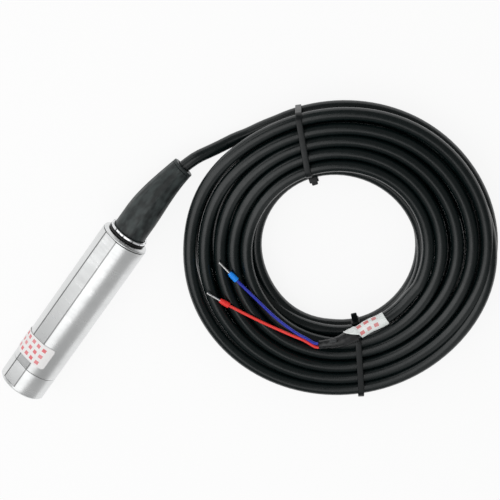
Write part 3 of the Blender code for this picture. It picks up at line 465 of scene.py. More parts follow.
print("materials")
steelFinish = {  # colour, roughness, bump depth
    "satin": ((0.785, 0.795, 0.795), 0.31, 0.0000014),
    "bright": ((0.80, 0.81, 0.82), 0.11, 0.0000015),
    "foil": ((0.72, 0.72, 0.71), 0.2, 0.000002),
    "tin": ((0.90, 0.90, 0.89), 0.36, 0.000006),
    "can": ((0.68, 0.69, 0.70), 0.3, 0.000004),
    "gold": ((0.80, 0.60, 0.24), 0.24, 0.000003),
}


def turnedSteel(name, finish, marks=1.0):
    # metal with lathe marks round X, faint blotches of handling, brighter rubbed edges and painted shade in grooves and
    # notches
    colour, roughness, depth = steelFinish[finish]
    material, tree, shader = newMaterial(name, metallic=1.0)
    coords = objectCoords(tree)
    lines = useGroup(tree, turningMarks, {"Vector": coords, "Scale": marks})
    grain = useGroup(tree, surfaceGrain, {"Vector": coords, "Scale": 600.0})
    worn = wornEdges(tree, coords, 500.0, 0.5)
    bright = rgb(colour, 1.1)
    base = mixColour(tree, remap(tree, grain["Patches"], 0.35, 0.65, 0.0, 1.0), rgb(colour, 0.92), rgb(colour))
    base = mixColour(tree, times(tree, lines["Fac"], 0.25), base, bright)
    base = mixColour(tree, times(tree, worn, 0.7), base, bright)
    # painted shade: the groove mask darkens grooves and notches
    base = mixColour(tree, times(tree, maskValue(tree, "grooveShadeMask"), 0.9), base, rgb(colour, 0.16))
    rough = spreadRoughness(tree, plus(tree, grain["Fac"], lines["Fac"]), roughness, 0.7, 1.3, 0.8, 1.25)
    feed(tree, shader, {"Base Color": base, "Roughness": rough, "Normal": bumpOf(tree, lines["Height"], depth)})
    return material


satinSteel = turnedSteel("satinTurnedSteel", "satin")
brightSteel = turnedSteel("polishedRingSteel", "bright", 1.6)
foilSteel = turnedSteel("diaphragmFoil", "foil")
goldPlate = turnedSteel("goldPlatedPin", "gold", 2.0)
tinPlate = turnedSteel("tinnedFerrule", "tin", 2.0)
canMetal = turnedSteel("capacitorCan", "can")

plainFinish = {  # colour, paler colour in worn or dusty places and in the boot's painted sheen, roughness, bump depth, grain per metre, specular
    "bootRubber": ((0.0040, 0.0072, 0.0076), (0.036, 0.048, 0.047), 0.42, 0.000018, 1500.0, 0.5),
    "sealRubber": ((0.006, 0.006, 0.006), (0.03, 0.03, 0.03), 0.5, 0.00001, 1500.0, 0.4),
    "cableJacket": ((0.0008, 0.0042, 0.0044), (0.006, 0.014, 0.014), 0.27, 0.000008, 1100.0, 0.62),
    "shrinkSleeve": ((0.0035, 0.0045, 0.0052), (0.016, 0.018, 0.019), 0.40, 0.00003, 700.0, 0.7),
    "tieNylon": ((0.0035, 0.0055, 0.0060), (0.03, 0.034, 0.035), 0.32, 0.000012, 900.0, 0.45),
    "carrierPlastic": ((0.60, 0.58, 0.53), (0.70, 0.68, 0.63), 0.5, 0.00001, 1200.0, 0.5),
    "solderMask": ((0.015, 0.14, 0.06), (0.03, 0.20, 0.10), 0.35, 0.000008, 1500.0, 0.5),
    "chipPlastic": ((0.018, 0.018, 0.02), (0.05, 0.05, 0.055), 0.5, 0.00001, 2500.0, 0.4),
    "terminalPlastic": ((0.02, 0.20, 0.08), (0.05, 0.28, 0.13), 0.45, 0.00001, 1500.0, 0.5),
    "ventPlastic": ((0.035, 0.038, 0.040), (0.08, 0.085, 0.087), 0.4, 0.00001, 1500.0, 0.5),
    "redInsulation": ((0.86, 0.045, 0.035), (0.92, 0.10, 0.08), 0.36, 0.000010, 1800.0, 0.5),
    "blueInsulation": ((0.016, 0.028, 0.40), (0.05, 0.10, 0.60), 0.30, 0.000010, 1800.0, 0.7),
    "redCollar": ((0.84, 0.030, 0.026), (0.90, 0.08, 0.07), 0.3, 0.00001, 1500.0, 0.5),
    "blueCollar": ((0.004, 0.25, 0.90), (0.04, 0.34, 0.92), 0.3, 0.00001, 1500.0, 0.5),
}
bootSheen = {"pitch": (120.0, 260.0, 1.0), "from": 0.40, "to": 0.62, "share": 0.85}  # painted sheen on the boot: pale patches, so many per metre of its UV map


def mouldedPlastic(name, byLength, paintedSheen):
    # plain plastic or rubber: slow change of tone, fine grain, and rubbed edges in the paler colour; on the boot,
    # painted sheen as long pale patches
    colour, pale, roughness, depth, scale, specular = plainFinish[name]
    material, tree, shader = newMaterial(name, specular=specular)
    coords = objectCoords(tree)
    grain = useGroup(tree, surfaceGrain, {"Vector": coords, "Scale": scale})
    worn = wornEdges(tree, coords, 600.0, 0.35)
    dust = times(tree, remap(tree, grain["Patches"], 0.42, 0.75, 0.0, 0.30), grain["Fac"])
    base = mixColour(tree, plus(tree, dust, times(tree, worn, 0.5), clamp=True), rgb(colour), rgb(pale))
    height = grain["Height"]
    if byLength:  # drawn lines along an extruded jacket, from its own UV map
        lines = noise(tree, scaled(tree, uvCoords(tree), (6.0, 900.0, 1.0)), 1.0, 2.0, 0.5)
        height = plus(tree, height, times(tree, lines, 0.8))
        scuff = noise(tree, scaled(tree, uvCoords(tree), (30.0, 400.0, 1.0)), 1.0, 3.0, 0.6)
        base = mixColour(tree, remap(tree, scuff, 0.62, 0.8, 0.0, 0.35), base, rgb(pale))
    if paintedSheen:  # painted sheen: long pale patches along the boot
        patches = noise(tree, scaled(tree, uvCoords(tree), bootSheen["pitch"]), 1.0, 2.0, 0.5)
        base = mixColour(tree, remap(tree, patches, bootSheen["from"], bootSheen["to"], 0.0, bootSheen["share"]),
                         base, rgb(pale))
    feed(tree, shader, {"Base Color": base, "Roughness": spreadRoughness(tree, grain["Fac"], roughness),
                        "Normal": bumpOf(tree, height, depth)})
    return material


extruded = ("cableJacket", "redInsulation", "blueInsulation")
plastics = {name: mouldedPlastic(name, name in extruded, name == "bootRubber") for name in plainFinish}

stickerLook = {
    "paper": (0.84, 0.83, 0.825),
    "shade": (0.74, 0.73, 0.73),
    "mark": (0.74, 0.05, 0.07),
    "paleMark": (0.80, 0.24, 0.26),
    "pitch": (0.0043, 0.0042),
    "fill": (0.56, 0.50),
    "columns": (0.0043, 0.0258),  # marks lie between these distances round the body
    "rows": (0.0010, 0.0130),
}
foilLook = {
    "paper": (0.96, 0.975, 0.965),
    "shade": (0.56, 0.66, 0.61),
    "mark": (0.74, 0.06, 0.07),
    "paleMark": (0.78, 0.30, 0.30),
    "pitch": (0.0046, 0.0042),
    "fill": (0.60, 0.52),
    "columns": (0.0046, 0.0184),
    "rows": (0.0000, 0.0084),
}


def printedLabel(name, look, roughness, creases):
    # pale sheet with rows of plain blocks in a window of its UV map; creases bend it and painted shade darkens them
    material, tree, shader = newMaterial(name, specular=0.5)
    coords = uvCoords(tree)
    split = tree.nodes.new("ShaderNodeSeparateXYZ")
    feed(tree, split, {0: coords})
    blocks = useGroup(tree, blockRows, {"Vector": coords, "Pitch Along": look["pitch"][0],
                                        "Pitch Across": look["pitch"][1], "Fill Along": look["fill"][0],
                                        "Fill Across": look["fill"][1]})
    window = blocks["Mask"]
    for axis, limits in ((0, look["columns"]), (1, look["rows"])):
        window = times(tree, window, calc(tree, "GREATER_THAN", split.outputs[axis], limits[0]))
        window = times(tree, window, calc(tree, "LESS_THAN", split.outputs[axis], limits[1]))
    grain = useGroup(tree, surfaceGrain, {"Vector": objectCoords(tree), "Scale": 1300.0})
    folds = noise(tree, scaled(tree, coords, (90.0, 330.0, 1.0)), 1.0, 3.0, 0.6)
    # painted shade in the creases
    base = mixColour(tree, remap(tree, folds, 0.40, 0.72, 0.0, creases), rgb(look["paper"]), rgb(look["shade"]))
    base = mixColour(tree, times(tree, grain["Fac"], 0.12), base, rgb(look["shade"]))
    ink = mixColour(tree, blocks["Cell"], rgb(look["mark"]), rgb(look["paleMark"]))
    base = mixColour(tree, times(tree, window, 0.85), base, ink)
    height = plus(tree, folds, times(tree, grain["Height"], 0.15))
    feed(tree, shader, {"Base Color": base, "Roughness": spreadRoughness(tree, grain["Fac"], roughness),
                        "Normal": bumpOf(tree, height, 0.0003 * creases)})
    return material


stickerPaper = printedLabel("stickerPaper", stickerLook, 0.42, 0.12)
labelFoil = printedLabel("labelFoil", foilLook, 0.3, 0.6)

print("cable")
cable = {
    "diameter": 0.0071,
    "sides": 22,
    "spacing": 0.004,
    "startStation": 0.138,  # inside the boot, 24 mm before its mouth
    "innerStart": 0.093,
    "centre": (0.1703, -0.1032),  # from the nose along X
    "leadIn": ((0.1700, -0.0067, 0.0110), (0.1745, -0.0094, 0.0099), (0.1794, -0.0126, 0.0086),
               (0.1848, -0.0160, 0.0070), (0.1906, -0.0194, 0.0059), (0.1964, -0.0235, 0.0051),
               (0.2039, -0.0277, 0.00497)),
    "tail": ((-88.0, 0.0466, 0.0190), (-98.0, 0.0461, 0.0193), (-112.0, 0.0454, 0.0204),
             (-123.0, 0.0446, 0.0222), (-135.0, 0.0466, 0.0247), (-146.0, 0.0494, 0.0262),
             (-157.5, 0.0525, 0.0256)),
    "wound": (12.0, 5550.1, 6.0),  # degrees of winding: from, to and step; the lead-in ends at 60 degrees
    "woundFrom": 72.0,
    "firstSteps": (222, 1 / 3),  # degrees wound at the first step to the next turn, and share of a turn it takes
    "lastSteps": (3652, 0.45),  # the same where the top layer begins
    "firstTurns": (83.0, 76.6, 69.2, 61.8, 54.4, 47.2, 47.8, 55.6, 63.6, 71.6, 79.6),  # mm, inwards and out again
    "firstHeights": (4.95,) * 6 + (11.85,) * 5,
    "lastTurns": (79.6, 83.2, 75.2, 67.4, 59.8, 52.6, 46.0),
    "lastHeights": (11.85,) + (18.75,) * 6,
    "lean": (2.0, 95.0, 22.0),  # the top layer stands out by this many mm about this angle, over this width
    "leanFrom": (52.0, 31.0),  # mm from the centre where that begins, and how far on it is whole
    "wander": ((0.25, 1.37, 0.8), (0.2, 2.71, 0.0)),  # mm, waves a turn and phase: no turn lies quite true
    "shapeFrom": (47.2, 36.0),  # mm: the hole's turns, and from them to the outermost
    "outerWaves": ((0.9, 1, -30.0), (1.1, 2, -30.0)),  # mm, waves round the coil and angle of a crest
    "innerWaves": ((0.55, 2, 52.0),),
    "outerBulges": ((2.1, -60.0, 30.0), (-0.6, 40.0, 35.0)),  # mm, angle and width, at the coil's outside
    "innerBulges": ((1.0, 60.0, 35.0), (-1.5, 150.0, 32.0), (0.7, -130.0, 25.0)),  # and at its hole
    "sleeve": 0.0225,
}
bend = {"start": 0.1263, "end": 0.1623, "side": -0.0039, "drop": -0.002}
cableRadius = cable["diameter"] / 2
coilAxis = np.array([cable["centre"][0] + noseX, cable["centre"][1], 0.0])


def axisPoints(station):
    # the boot's centre line: a parabola to the side and downwards from the end of the plug's stem
    share = np.maximum(0.0, np.asarray(station, float) - bend["start"]) / (bend["end"] - bend["start"])
    return np.stack([station + noseX, bend["side"] * share ** 2, axisHeight + bend["drop"] * share ** 2], axis=-1)


def onCoil(degrees, radius, height):
    angle = np.radians(degrees)
    return np.stack([coilAxis[0] + radius * np.cos(angle), coilAxis[1] + radius * np.sin(angle),
                     height + 0.0 * angle], axis=-1)


def bulge(degrees, most, middle, width):
    # bell curve of the angle from its middle, the short way round
    away = ((degrees - middle + 180) % 360 - 180) / width
    return most * np.exp(-away ** 2)


def coilShape(degrees, radius):
    # the coil isn't quite round: cosines and a few bulges at its outside, fainter ones at its hole
    share = (radius - cable["shapeFrom"][0]) / cable["shapeFrom"][1]
    sides = []
    for side in ("outer", "inner"):
        waves = sum(most * np.cos(count * np.radians(degrees - crest)) for most, count, crest in cable[side + "Waves"])
        sides.append(waves + sum(bulge(degrees, *values) for values in cable[side + "Bulges"]))
    return share * sides[0] + (1 - share) * sides[1]


def turnsOf(turn, width, radii, heights):
    # turn number to radius and height: level turns joined by eased steps, the climb leading the step sideways
    turn = np.maximum(turn, 0.0)
    whole = np.floor(turn)
    part = np.clip((turn - whole) / width, 0.0, 1.0)
    part = part * part * (3 - 2 * part)
    numbers = np.arange(len(radii))
    climb = np.sqrt(1 - (1 - part) ** 2)
    return np.interp(whole + part, numbers, radii), np.interp(whole + climb, numbers, heights)


def coilRoute():
    # clockwise from 60 degrees: six turns inwards on the floor, five outwards over them, then six inwards on top
    wound = np.arange(*cable["wound"])
    degrees = cable["woundFrom"] - wound
    (firstAt, firstWidth), (lastAt, lastWidth) = cable["firstSteps"], cable["lastSteps"]
    r1, z1 = turnsOf((wound - firstAt) / 360, firstWidth, cable["firstTurns"], cable["firstHeights"])
    r2, z2 = turnsOf((wound - lastAt) / 360, lastWidth, cable["lastTurns"], cable["lastHeights"])
    radius, height = np.where(wound > lastAt, r2, r1), np.where(wound > lastAt, z2, z1)
    low, high = cable["lastHeights"][:2]
    lean = bulge(degrees, *cable["lean"]) * np.clip((radius - cable["leanFrom"][0]) / cable["leanFrom"][1], 0, 1) ** 1.5
    lean = lean * np.clip((height - low) / (high - low), 0, 1)
    wander = sum(most * np.sin(count * np.radians(wound) + phase) for most, count, phase in cable["wander"])
    radius = radius + coilShape(degrees, radius) + lean + wander
    return onCoil(degrees, radius / 1000, height / 1000)


leadIn = np.array(cable["leadIn"]) + np.array([noseX, 0.0, 0.0])
tail = np.array(cable["tail"])
bootStations = np.linspace(cable["startStation"], bend["end"], 8)
cableLine = smoothRoute(np.concatenate([axisPoints(bootStations), leadIn, coilRoute(), onCoil(*tail.T)]), 10)
cableRun = travelled(cableLine)[-1]
sleeveStart = cableRun - cable["sleeve"]
cablePath = between(cableLine, 0.0, sleeveStart + 0.003, cable["spacing"])

jacket = gridPiece("cableJacket", tubeGrid(cablePath, cableRadius, cable["sides"]), plastics["cableJacket"], caps=True)
place(jacket, "black_jacket", "cable_lead_in", "cable_coil", "cable_tail")

innerPath = axisPoints(np.linspace(cable["innerStart"], cable["startStation"] - 0.0004, 14))
cableInner = gridPiece("cableInnerEnd", tubeGrid(innerPath, cableRadius, cable["sides"]),
                       plastics["cableJacket"], caps=True)
place(cableInner, "black_jacket")

print("end of the cable")
sleeveLook = {"wall": 0.0006, "tip": 0.0024, "sides": 28, "ripple": 0.00009, "ripples": 40, "lip": 0.0006,
              "lipDepth": 0.0005}
sleevePath = between(cableLine, sleeveStart, None, 0.0005)


def sleeveRadii(share):
    # full over the cable, eased down to the tip, with faint ripples where it shrank and a rounded lip at each end
    eased = share * share * (3 - 2 * share)
    radius = cableRadius + sleeveLook["wall"]
    radius = radius + (sleeveLook["tip"] - radius) * eased
    radius = radius + sleeveLook["ripple"] * np.sin(share * sleeveLook["ripples"]) * share
    lip = np.minimum(share, 1 - share) * cable["sleeve"] / sleeveLook["lip"]
    return radius - sleeveLook["lipDepth"] * (1 - np.sqrt(np.clip(1 - (1 - np.clip(lip, 0, 1)) ** 2, 0, 1)))


sleeveGrid = tubeGrid(sleevePath, sleeveRadii(np.linspace(0.0, 1.0, len(sleevePath))), sleeveLook["sides"])
endSleeve = gridPiece("endSleeve", sleeveGrid, plastics["shrinkSleeve"], caps=True)
place(endSleeve, "shrink_sleeve", "end_sleeve")

ventLook = {"diameter": 0.0018, "start": 0.0124, "length": 0.0040, "tilt": math.radians(53.0),
            "outline": ((0.0, 0.8), (0.0002, 1.0), (0.002, 1.0), (0.0037, 1.0), (0.00392, 0.94), (0.004, 0.84),
                        (0.004, 0.62), (0.0039, 0.56), (0.002, 0.56))}  # distance, share of the radius


def ventTip():
    # a short tube beside the sleeve, its bore open at the end
    first = ventLook["start"]
    stretch = between(cableLine, sleeveStart + first, sleeveStart + first + ventLook["length"], 0.001)
    along = unit(stretch[-1] - stretch[0])
    inward = unit(coilAxis - stretch[0] * np.array([1, 1, 0]))
    off = float(sleeveRadii(np.array([first / cable["sleeve"]]))[0]) + clearance + ventLook["diameter"] / 2
    tilt = ventLook["tilt"]
    start = stretch[0] + off * (math.cos(tilt) * inward + math.sin(tilt) * np.array([0, 0, 1.0]))
    reach, radius = np.array(ventLook["outline"]).T[..., None]
    return rings(start + along * reach, radius * ventLook["diameter"] / 2, *levelFrame(along), around(20))


ventPiece = gridPiece("ventTubeTip", ventTip(), plastics["ventPlastic"], caps=True)
place(ventPiece, "vent_plastic", "vent_tube_tip")

labelLook = {"setback": 0.019, "reach": 0.0065, "skew": 0.0072, "skewWidth": 0.0042, "skewMore": 0.3,
             "gap": 0.00025, "thickness": 0.00016, "wrap": math.radians(195.0), "flap": 0.0022, "lift": 0.10,
             "crease": 0.00011, "climb": (-0.0022, 0.002)}  # climb: where it climbs on to the sleeve, and over how far


def foilLabel():
    # a strip round the cable, square at one end; its other end is cut aslant and laps over the sleeve on one side
    rows, cols = 56, 34
    s, v = np.meshgrid(np.linspace(0, 1, rows), np.linspace(0, 1, cols), indexing="ij")
    radius = cableRadius + labelLook["gap"]
    arc = labelLook["wrap"] * radius
    reach = v * (arc + labelLook["flap"])
    across = radius * (1 - np.cos(np.minimum(reach / cableRadius, np.pi)))
    cutEnd = labelLook["reach"] - labelLook["skew"] * np.clip(across / labelLook["skewWidth"], 0, 1)
    cutEnd = cutEnd - labelLook["skewMore"] * np.maximum(0, across - labelLook["skewWidth"])
    run = sleeveStart - labelLook["setback"] + s * (labelLook["setback"] + cutEnd)
    distance = travelled(cableLine)
    centre, ahead = (np.stack([np.interp(run + more, distance, cableLine[:, i]) for i in range(3)], axis=-1)
                     for more in (0.0, 0.0005))
    along = unit(ahead - centre)
    outward = centre - coilAxis
    outward[..., 2] = 0.0
    outward = unit(outward - (outward * along).sum(axis=-1, keepdims=True) * along)
    up = np.cross(along, outward)
    up *= np.sign(up[..., 2:3])
    turned = np.minimum(reach, arc) / radius
    over = np.clip((run - sleeveStart - labelLook["climb"][0]) / labelLook["climb"][1], 0, 1)
    radius = (radius + (sleeveLook["wall"] + 0.0001) * over * over * (3 - 2 * over))[..., None]
    angle = (np.pi / 2 + labelLook["wrap"] / 2 - turned)[..., None]
    flap = np.maximum(0.0, reach - arc)[..., None]
    crease = labelLook["crease"] * np.sin(s * 23 + v * 9) * np.sin(v * 15 + s * 5)
    lift = labelLook["lift"] * flap ** 2 / labelLook["flap"]
    radial = np.cos(angle) * outward + np.sin(angle) * up
    tangent = np.sin(angle) * outward - np.cos(angle) * up
    return centre + (radius + np.abs(crease)[..., None] + lift) * radial + flap * tangent, run, reach


labelPoints, labelRun, labelReach = foilLabel()
labelUv = np.stack([labelRun - labelRun.min(), labelReach], axis=-1)
labelPiece = gridPiece("cableLabel", labelPoints, labelFoil, wrapCols=False, uv=labelUv)
solid = labelPiece.modifiers.new("thickness", "SOLIDIFY")
solid.thickness = labelLook["thickness"]
solid.offset = 0.0
place(labelPiece, "label_foil", "cable_label")

print("wires and ferrules")
wireLook = {"diameter": 0.0017, "sides": 14, "spacing": 0.0012, "spread": 0.0011, "inside": 0.0015, "straight": 0.0018,
            "collar": 0.0060, "collarDiameter": 0.0033, "overlap": 0.0004, "pin": 0.0088, "pinDiameter": 0.0013}
collarOutline = (  # distance, share of the radius and edge mask
    (0.0, 0.62, 0), (0.0, 0.90, 1), (0.0001, 0.97, 1), (0.0004, 1.0, 0.6), (0.0012, 0.99, 0), (0.0028, 0.965, 0),
    (0.0040, 0.95, 0), (0.0046, 0.93, 0.3), (0.0052, 0.82, 0.2), (0.0058, 0.76, 0.5), (0.0060, 0.70, 1),
    (0.0060, 0.45, 0))
crimpLook = {"middle": 0.0036, "half": 0.0022, "pitch": 0.0012, "press": 0.06, "bite": 0.07}
wireRoutes = {
    "red": (((0.1191, -0.1150, 0.0250), (0.1174, -0.1071, 0.0244), (0.1147, -0.0920, 0.0238),
             (0.1131, -0.0792, 0.0237), (0.1122, -0.0689, 0.0240)), (0.1116, -0.0549, 0.0243), -1.0),
    "blue": (((0.1209, -0.1152, 0.0252), (0.1202, -0.1083, 0.0246), (0.1211, -0.0942, 0.0240),
              (0.1239, -0.0797, 0.0239), (0.1272, -0.0638, 0.0242)), (0.1310, -0.0483, 0.0245), 1.0),
}


def straightGrid(start, aim, reach, radius, sides, shape=None):
    # circles at given distances along a straight line; shape changes the radius by distance and angle
    reach, angles = np.asarray(reach)[:, None], around(sides)
    radius = np.asarray(radius)[:, None] + 0.0 * angles
    if shape is not None:
        radius = radius * shape(reach, angles)
    return rings(start + aim * reach, radius, *levelFrame(aim), angles)


def crimp(reach, angle):
    # pressed square over its middle, with four bites along it
    held = np.exp(-((reach - crimpLook["middle"]) / crimpLook["half"]) ** 4)
    bites = 0.5 + 0.5 * np.cos(2 * np.pi * reach / crimpLook["pitch"])
    return 1 - held * (crimpLook["press"] + crimpLook["bite"] * bites) * (0.5 + 0.5 * np.cos(4 * angle))


def makeWire(colour):
    # from the sleeve's tip along its route, then a collar and a crimped pin in a straight line
    route, aim, way = wireRoutes[colour]
    shift = np.array([noseX, 0.0, 0.0])
    along = unit(sleevePath[-1] - sleevePath[-4])
    start = sleevePath[-1] + levelFrame(along)[0] * wireLook["spread"] * way
    ends = [start - along * wireLook["inside"], start + along * wireLook["straight"]]
    path = between(smoothRoute(np.concatenate([ends, np.array(route) + shift]), 16), 0.0, None, wireLook["spacing"])
    wire = gridPiece(colour + "Wire", tubeGrid(path, wireLook["diameter"] / 2, wireLook["sides"]),
                     plastics[colour + "Insulation"], caps=True)
    place(wire, colour + "_insulation", colour + "_wire")
    aimed = unit(np.array(aim) + shift - path[-1])
    collarStart = path[-1] + aimed * clearance
    reach, radius, edge = np.array(collarOutline).T
    collar = gridPiece(colour + "FerruleCollar",
                       straightGrid(collarStart, aimed, reach, radius * (wireLook["collarDiameter"] / 2), 32),
                       plastics[colour + "Collar"], caps=True, edge=np.repeat(edge[:, None], 32, axis=1), sharp=40)
    place(collar, colour + "_collar", colour + "_ferrule_collar")
    pinStart = collarStart + aimed * (wireLook["collar"] - wireLook["overlap"])
    reach = np.concatenate([[0.0], np.linspace(0.0, wireLook["pin"], 60), [wireLook["pin"] + 0.0001]])
    radius = np.concatenate([[0.5], np.full(58, 1.0), [0.96, 0.86, 0.7]]) * (wireLook["pinDiameter"] / 2)
    pin = gridPiece(colour + "FerrulePin", straightGrid(pinStart, aimed, reach, radius, 24, crimp), tinPlate,
                    caps=True, sharp=40)
    place(pin, "tinned_copper", colour + "_ferrule_pin")


for colour in wireRoutes:
    makeWire(colour)

print("cable ties")
tieLook = {"width": 0.0034, "thickness": 0.0011, "gap": 0.0002, "headSize": (0.0036, 0.0052, 0.0046),
           "headLift": 0.35, "latchRise": 0.0009, "latchHalf": 0.0003, "latchShares": (0.30, 0.16),
           "radii": (0.045, 0.087), "squareness": 0.32, "slack": 0.15,
           "corners": ((83.0, 4.95), (83.2, 18.75), (52.6, 18.75), (47.2, 4.95))}  # mm: the turns the strap bends round
tiePlaces = [  # angles at the hole, at the coil's outside and of the head, and how far the cut end stands out
    {"inner": 55.0, "outer": 50.0, "head": 53.2, "stub": 0.0015},
    {"inner": -132.0, "outer": -136.4, "head": -132.0, "stub": 0.0055},
]


def squared(wave, power):
    # a sine or cosine pushed towards its ends, which makes a rounded square of a circle
    return np.sign(wave) * np.abs(wave) ** power


def tieLoop(spot):
    # a strap of rounded section carried round the coil's outermost, topmost and innermost turns, a little aslant
    degrees = (spot["inner"] + spot["outer"]) / 2
    corners = np.array(tieLook["corners"])
    corners[:, 0] += coilShape(degrees, corners[:, 0]) + tieLook["slack"]
    corners /= 1000
    before, after = np.roll(corners, 1, axis=0), np.roll(corners, -1, axis=0)
    first = np.arctan2(before[:, 0] - corners[:, 0], corners[:, 1] - before[:, 1])
    last = np.arctan2(corners[:, 0] - after[:, 0], after[:, 1] - corners[:, 1])
    last = np.where(last < first, last + 2 * np.pi, last)
    share = np.linspace(0, 1, 12)[None]
    angle = (first[:, None] + (last - first)[:, None] * share).ravel()
    centre = np.repeat(corners, 12, axis=0)
    across = squared(np.sin(around(20)), tieLook["squareness"]) * tieLook["width"] / 2
    out = squared(np.cos(around(20)), tieLook["squareness"]) * tieLook["thickness"] / 2
    reach = cableRadius + tieLook["gap"] + tieLook["thickness"] / 2 + out[None]
    radial = centre[:, :1] + reach * np.cos(angle)[:, None]
    height = centre[:, 1:] + reach * np.sin(angle)[:, None]
    theta = np.radians(np.interp(radial, tieLook["radii"], (spot["inner"], spot["outer"])))
    span = tieLook["radii"][1] - tieLook["radii"][0]
    slant = math.atan(math.radians(spot["outer"] - spot["inner"]) * sum(tieLook["radii"]) / 2 / span)
    x = coilAxis[0] + radial * np.cos(theta) - np.sin(theta + slant) * across[None]
    y = coilAxis[1] + radial * np.sin(theta) + np.cos(theta + slant) * across[None]
    return np.stack([x, y, height], axis=-1), corners


def softBox(centre, half, power=0.22, rows=18, cols=28):
    # block with rounded edges: powers of sine and cosine on a globe's two angles
    v, u = np.meshgrid(np.linspace(-np.pi / 2, np.pi / 2, rows), around(cols), indexing="ij")
    ring = np.where(np.abs(np.cos(v)) < 1e-9, 0.0, squared(np.cos(v), power))
    return np.stack([centre[0] + half[0] * ring * squared(np.cos(u), power),
                     centre[1] + half[1] * ring * squared(np.sin(u), power),
                     centre[2] + half[2] * squared(np.sin(v), power)], axis=-1)


def moved(points, matrix):
    turn = np.array(matrix.to_3x3())
    return points @ turn.T + np.array(matrix.translation)


def makeTie(number, spot):
    # strap swept round the turns, then head, latch and cut end as soft blocks at the coil's inner wall
    loop, corners = tieLoop(spot)
    degrees, stub, nylon = spot["head"], spot["stub"], plastics["tieNylon"]
    parts = [gridPiece("tieStrap", loop, nylon, wrapRows=True, sharp=35)]
    low, high = Vector(corners[3]), Vector(corners[2])
    slope = (high - low).normalized()
    out = Vector((-slope.y, slope.x))
    base = low.lerp(high, tieLook["headLift"])
    theta = math.radians(degrees)
    headSpot = Vector([float(x) for x in onCoil(degrees, base.x, base.y)])
    matrix = Matrix.Translation(headSpot) @ Matrix((
        (out.x * math.cos(theta), math.sin(theta), slope.x * math.cos(theta), 0),
        (out.x * math.sin(theta), -math.cos(theta), slope.x * math.sin(theta), 0),
        (out.y, 0, slope.y, 0), (0, 0, 0, 1)))
    reach = cableRadius + tieLook["gap"] + tieLook["thickness"] / 2
    depth, width, height = tieLook["headSize"]
    wideShare, highShare = tieLook["latchShares"]
    blocks = (  # head, latch and cut end
        ((reach + depth / 2, 0, 0), (depth / 2, width / 2, height / 2)),
        ((reach + depth, 0, tieLook["latchRise"]), (tieLook["latchHalf"], width * wideShare, height * highShare)),
        ((reach + (depth + stub) / 2, 0, 0), ((depth + stub) / 2, tieLook["width"] / 2, tieLook["thickness"] / 2)),
    )
    for middle, half in blocks:
        parts.append(gridPiece("tieBlock", moved(softBox(middle, half), matrix), nylon, sharp=50))
    return place(joined(f"cableTie{number}", parts), "tie_plastic", f"cable_tie_{number}")


ties = [makeTie(i + 1, tiePlaces[i]) for i in range(2)]

print("probe")
radii = {"body": bodyRadius, "bore": 0.012, "insert": 0.0117, "seat": 0.0098, "hole": cableRadius + clearance}
capLook = {"length": 0.015, "chamfer": 0.001, "wall": 0.003, "spigotEnd": 0.022, "spigotWall": 0.0015,
           "port": 0.0036, "ports": 6, "portCircle": 0.0124, "flatFrom": 0.0022, "rounding": 0.00015}


def noseCap():
    # turned outline with a spigot, cut to the flat; a boolean drills the ports through its face
    body, insert, length = radii["body"], radii["insert"], capLook["length"]
    inside = insert - capLook["spigotWall"]
    profile = [(0.0, 0.0), (0.0, 0.006), (0.0, body - capLook["chamfer"]), (capLook["chamfer"], body),
               (capLook["flatFrom"] - 0.0001, body), (capLook["flatFrom"] + 0.0002, body), (length, body),
               (length, insert), (capLook["spigotEnd"], insert), (capLook["spigotEnd"], inside),
               (capLook["wall"], inside), (capLook["wall"], 0.0)]
    cap = turnedPiece("noseCap", profile, satinSteel, rounding=capLook["rounding"], flatFrom=capLook["flatFrom"])
    drills = []
    spots = [(0.0, 0.0)] + [(capLook["portCircle"] / 2 * math.cos(angle), capLook["portCircle"] / 2 * math.sin(angle))
                            for angle in around(capLook["ports"])]
    reach = np.array([-0.002, -0.0001, 0.0002, 0.0028, 0.0055])
    wide = np.array([1.12, 1.12, 1.0, 1.0, 1.0]) * capLook["port"] / 2  # a small lead-in at the face
    for across, up in spots:
        start = np.array([noseX, across, axisHeight + up])
        grid = straightGrid(start, np.array([1.0, 0.0, 0.0]), reach, wide, 28)
        drills.append(gridPiece("drill", grid, satinSteel, caps=True))
    cutter = joined("portDrills", drills)
    cut = cap.modifiers.new("ports", "BOOLEAN")
    cut.operation, cut.solver, cut.object = "DIFFERENCE", "EXACT", cutter
    bpy.context.view_layer.update()
    made = bpy.data.meshes.new_from_object(cap.evaluated_get(bpy.context.evaluated_depsgraph_get()))
    cap.modifiers.clear()
    cap.data = made
    bpy.data.objects.remove(cutter, do_unlink=True)
    made.set_sharp_from_angle(angle=math.radians(20))
    return place(cap, "satin_steel", "nose_cap", body="nose_cap")


noseCap()

tubeLook = {"start": 0.01515, "end": 0.1088, "capsuleFront": 0.0263, "lipStart": 0.039, "lipEnd": 0.041, "lip": 0.008}


def housingTube():
    # turned outline, stepped inside for the sensor capsule and cut to the flat
    body, bore, seat = radii["body"], radii["bore"], radii["seat"]
    t = tubeLook
    profile = [(t["start"], body), (t["end"], body), (t["end"], bore), (t["lipEnd"], bore), (t["lipEnd"], t["lip"]),
               (t["lipStart"], t["lip"]), (t["lipStart"], seat), (t["capsuleFront"], seat),
               (t["capsuleFront"], bore), (t["start"], bore)]
    tube = turnedPiece("housingTube", profile, satinSteel, rounding=0.00015, flatFrom=0.0)
    return place(tube, "satin_steel", "housing_tube")


housingTube()

plugLook = {"start": 0.0971, "shoulder": 0.1091, "flange": 0.0006, "top": 0.1106, "stemEnd": 0.126, "stem": 0.0062,
            "groove": (0.1021, 0.1041, 0.0102), "seal": 0.006, "sealEnd": 0.1051, "flangeRadius": 0.0137,
            "shoulderWidth": 0.0018}


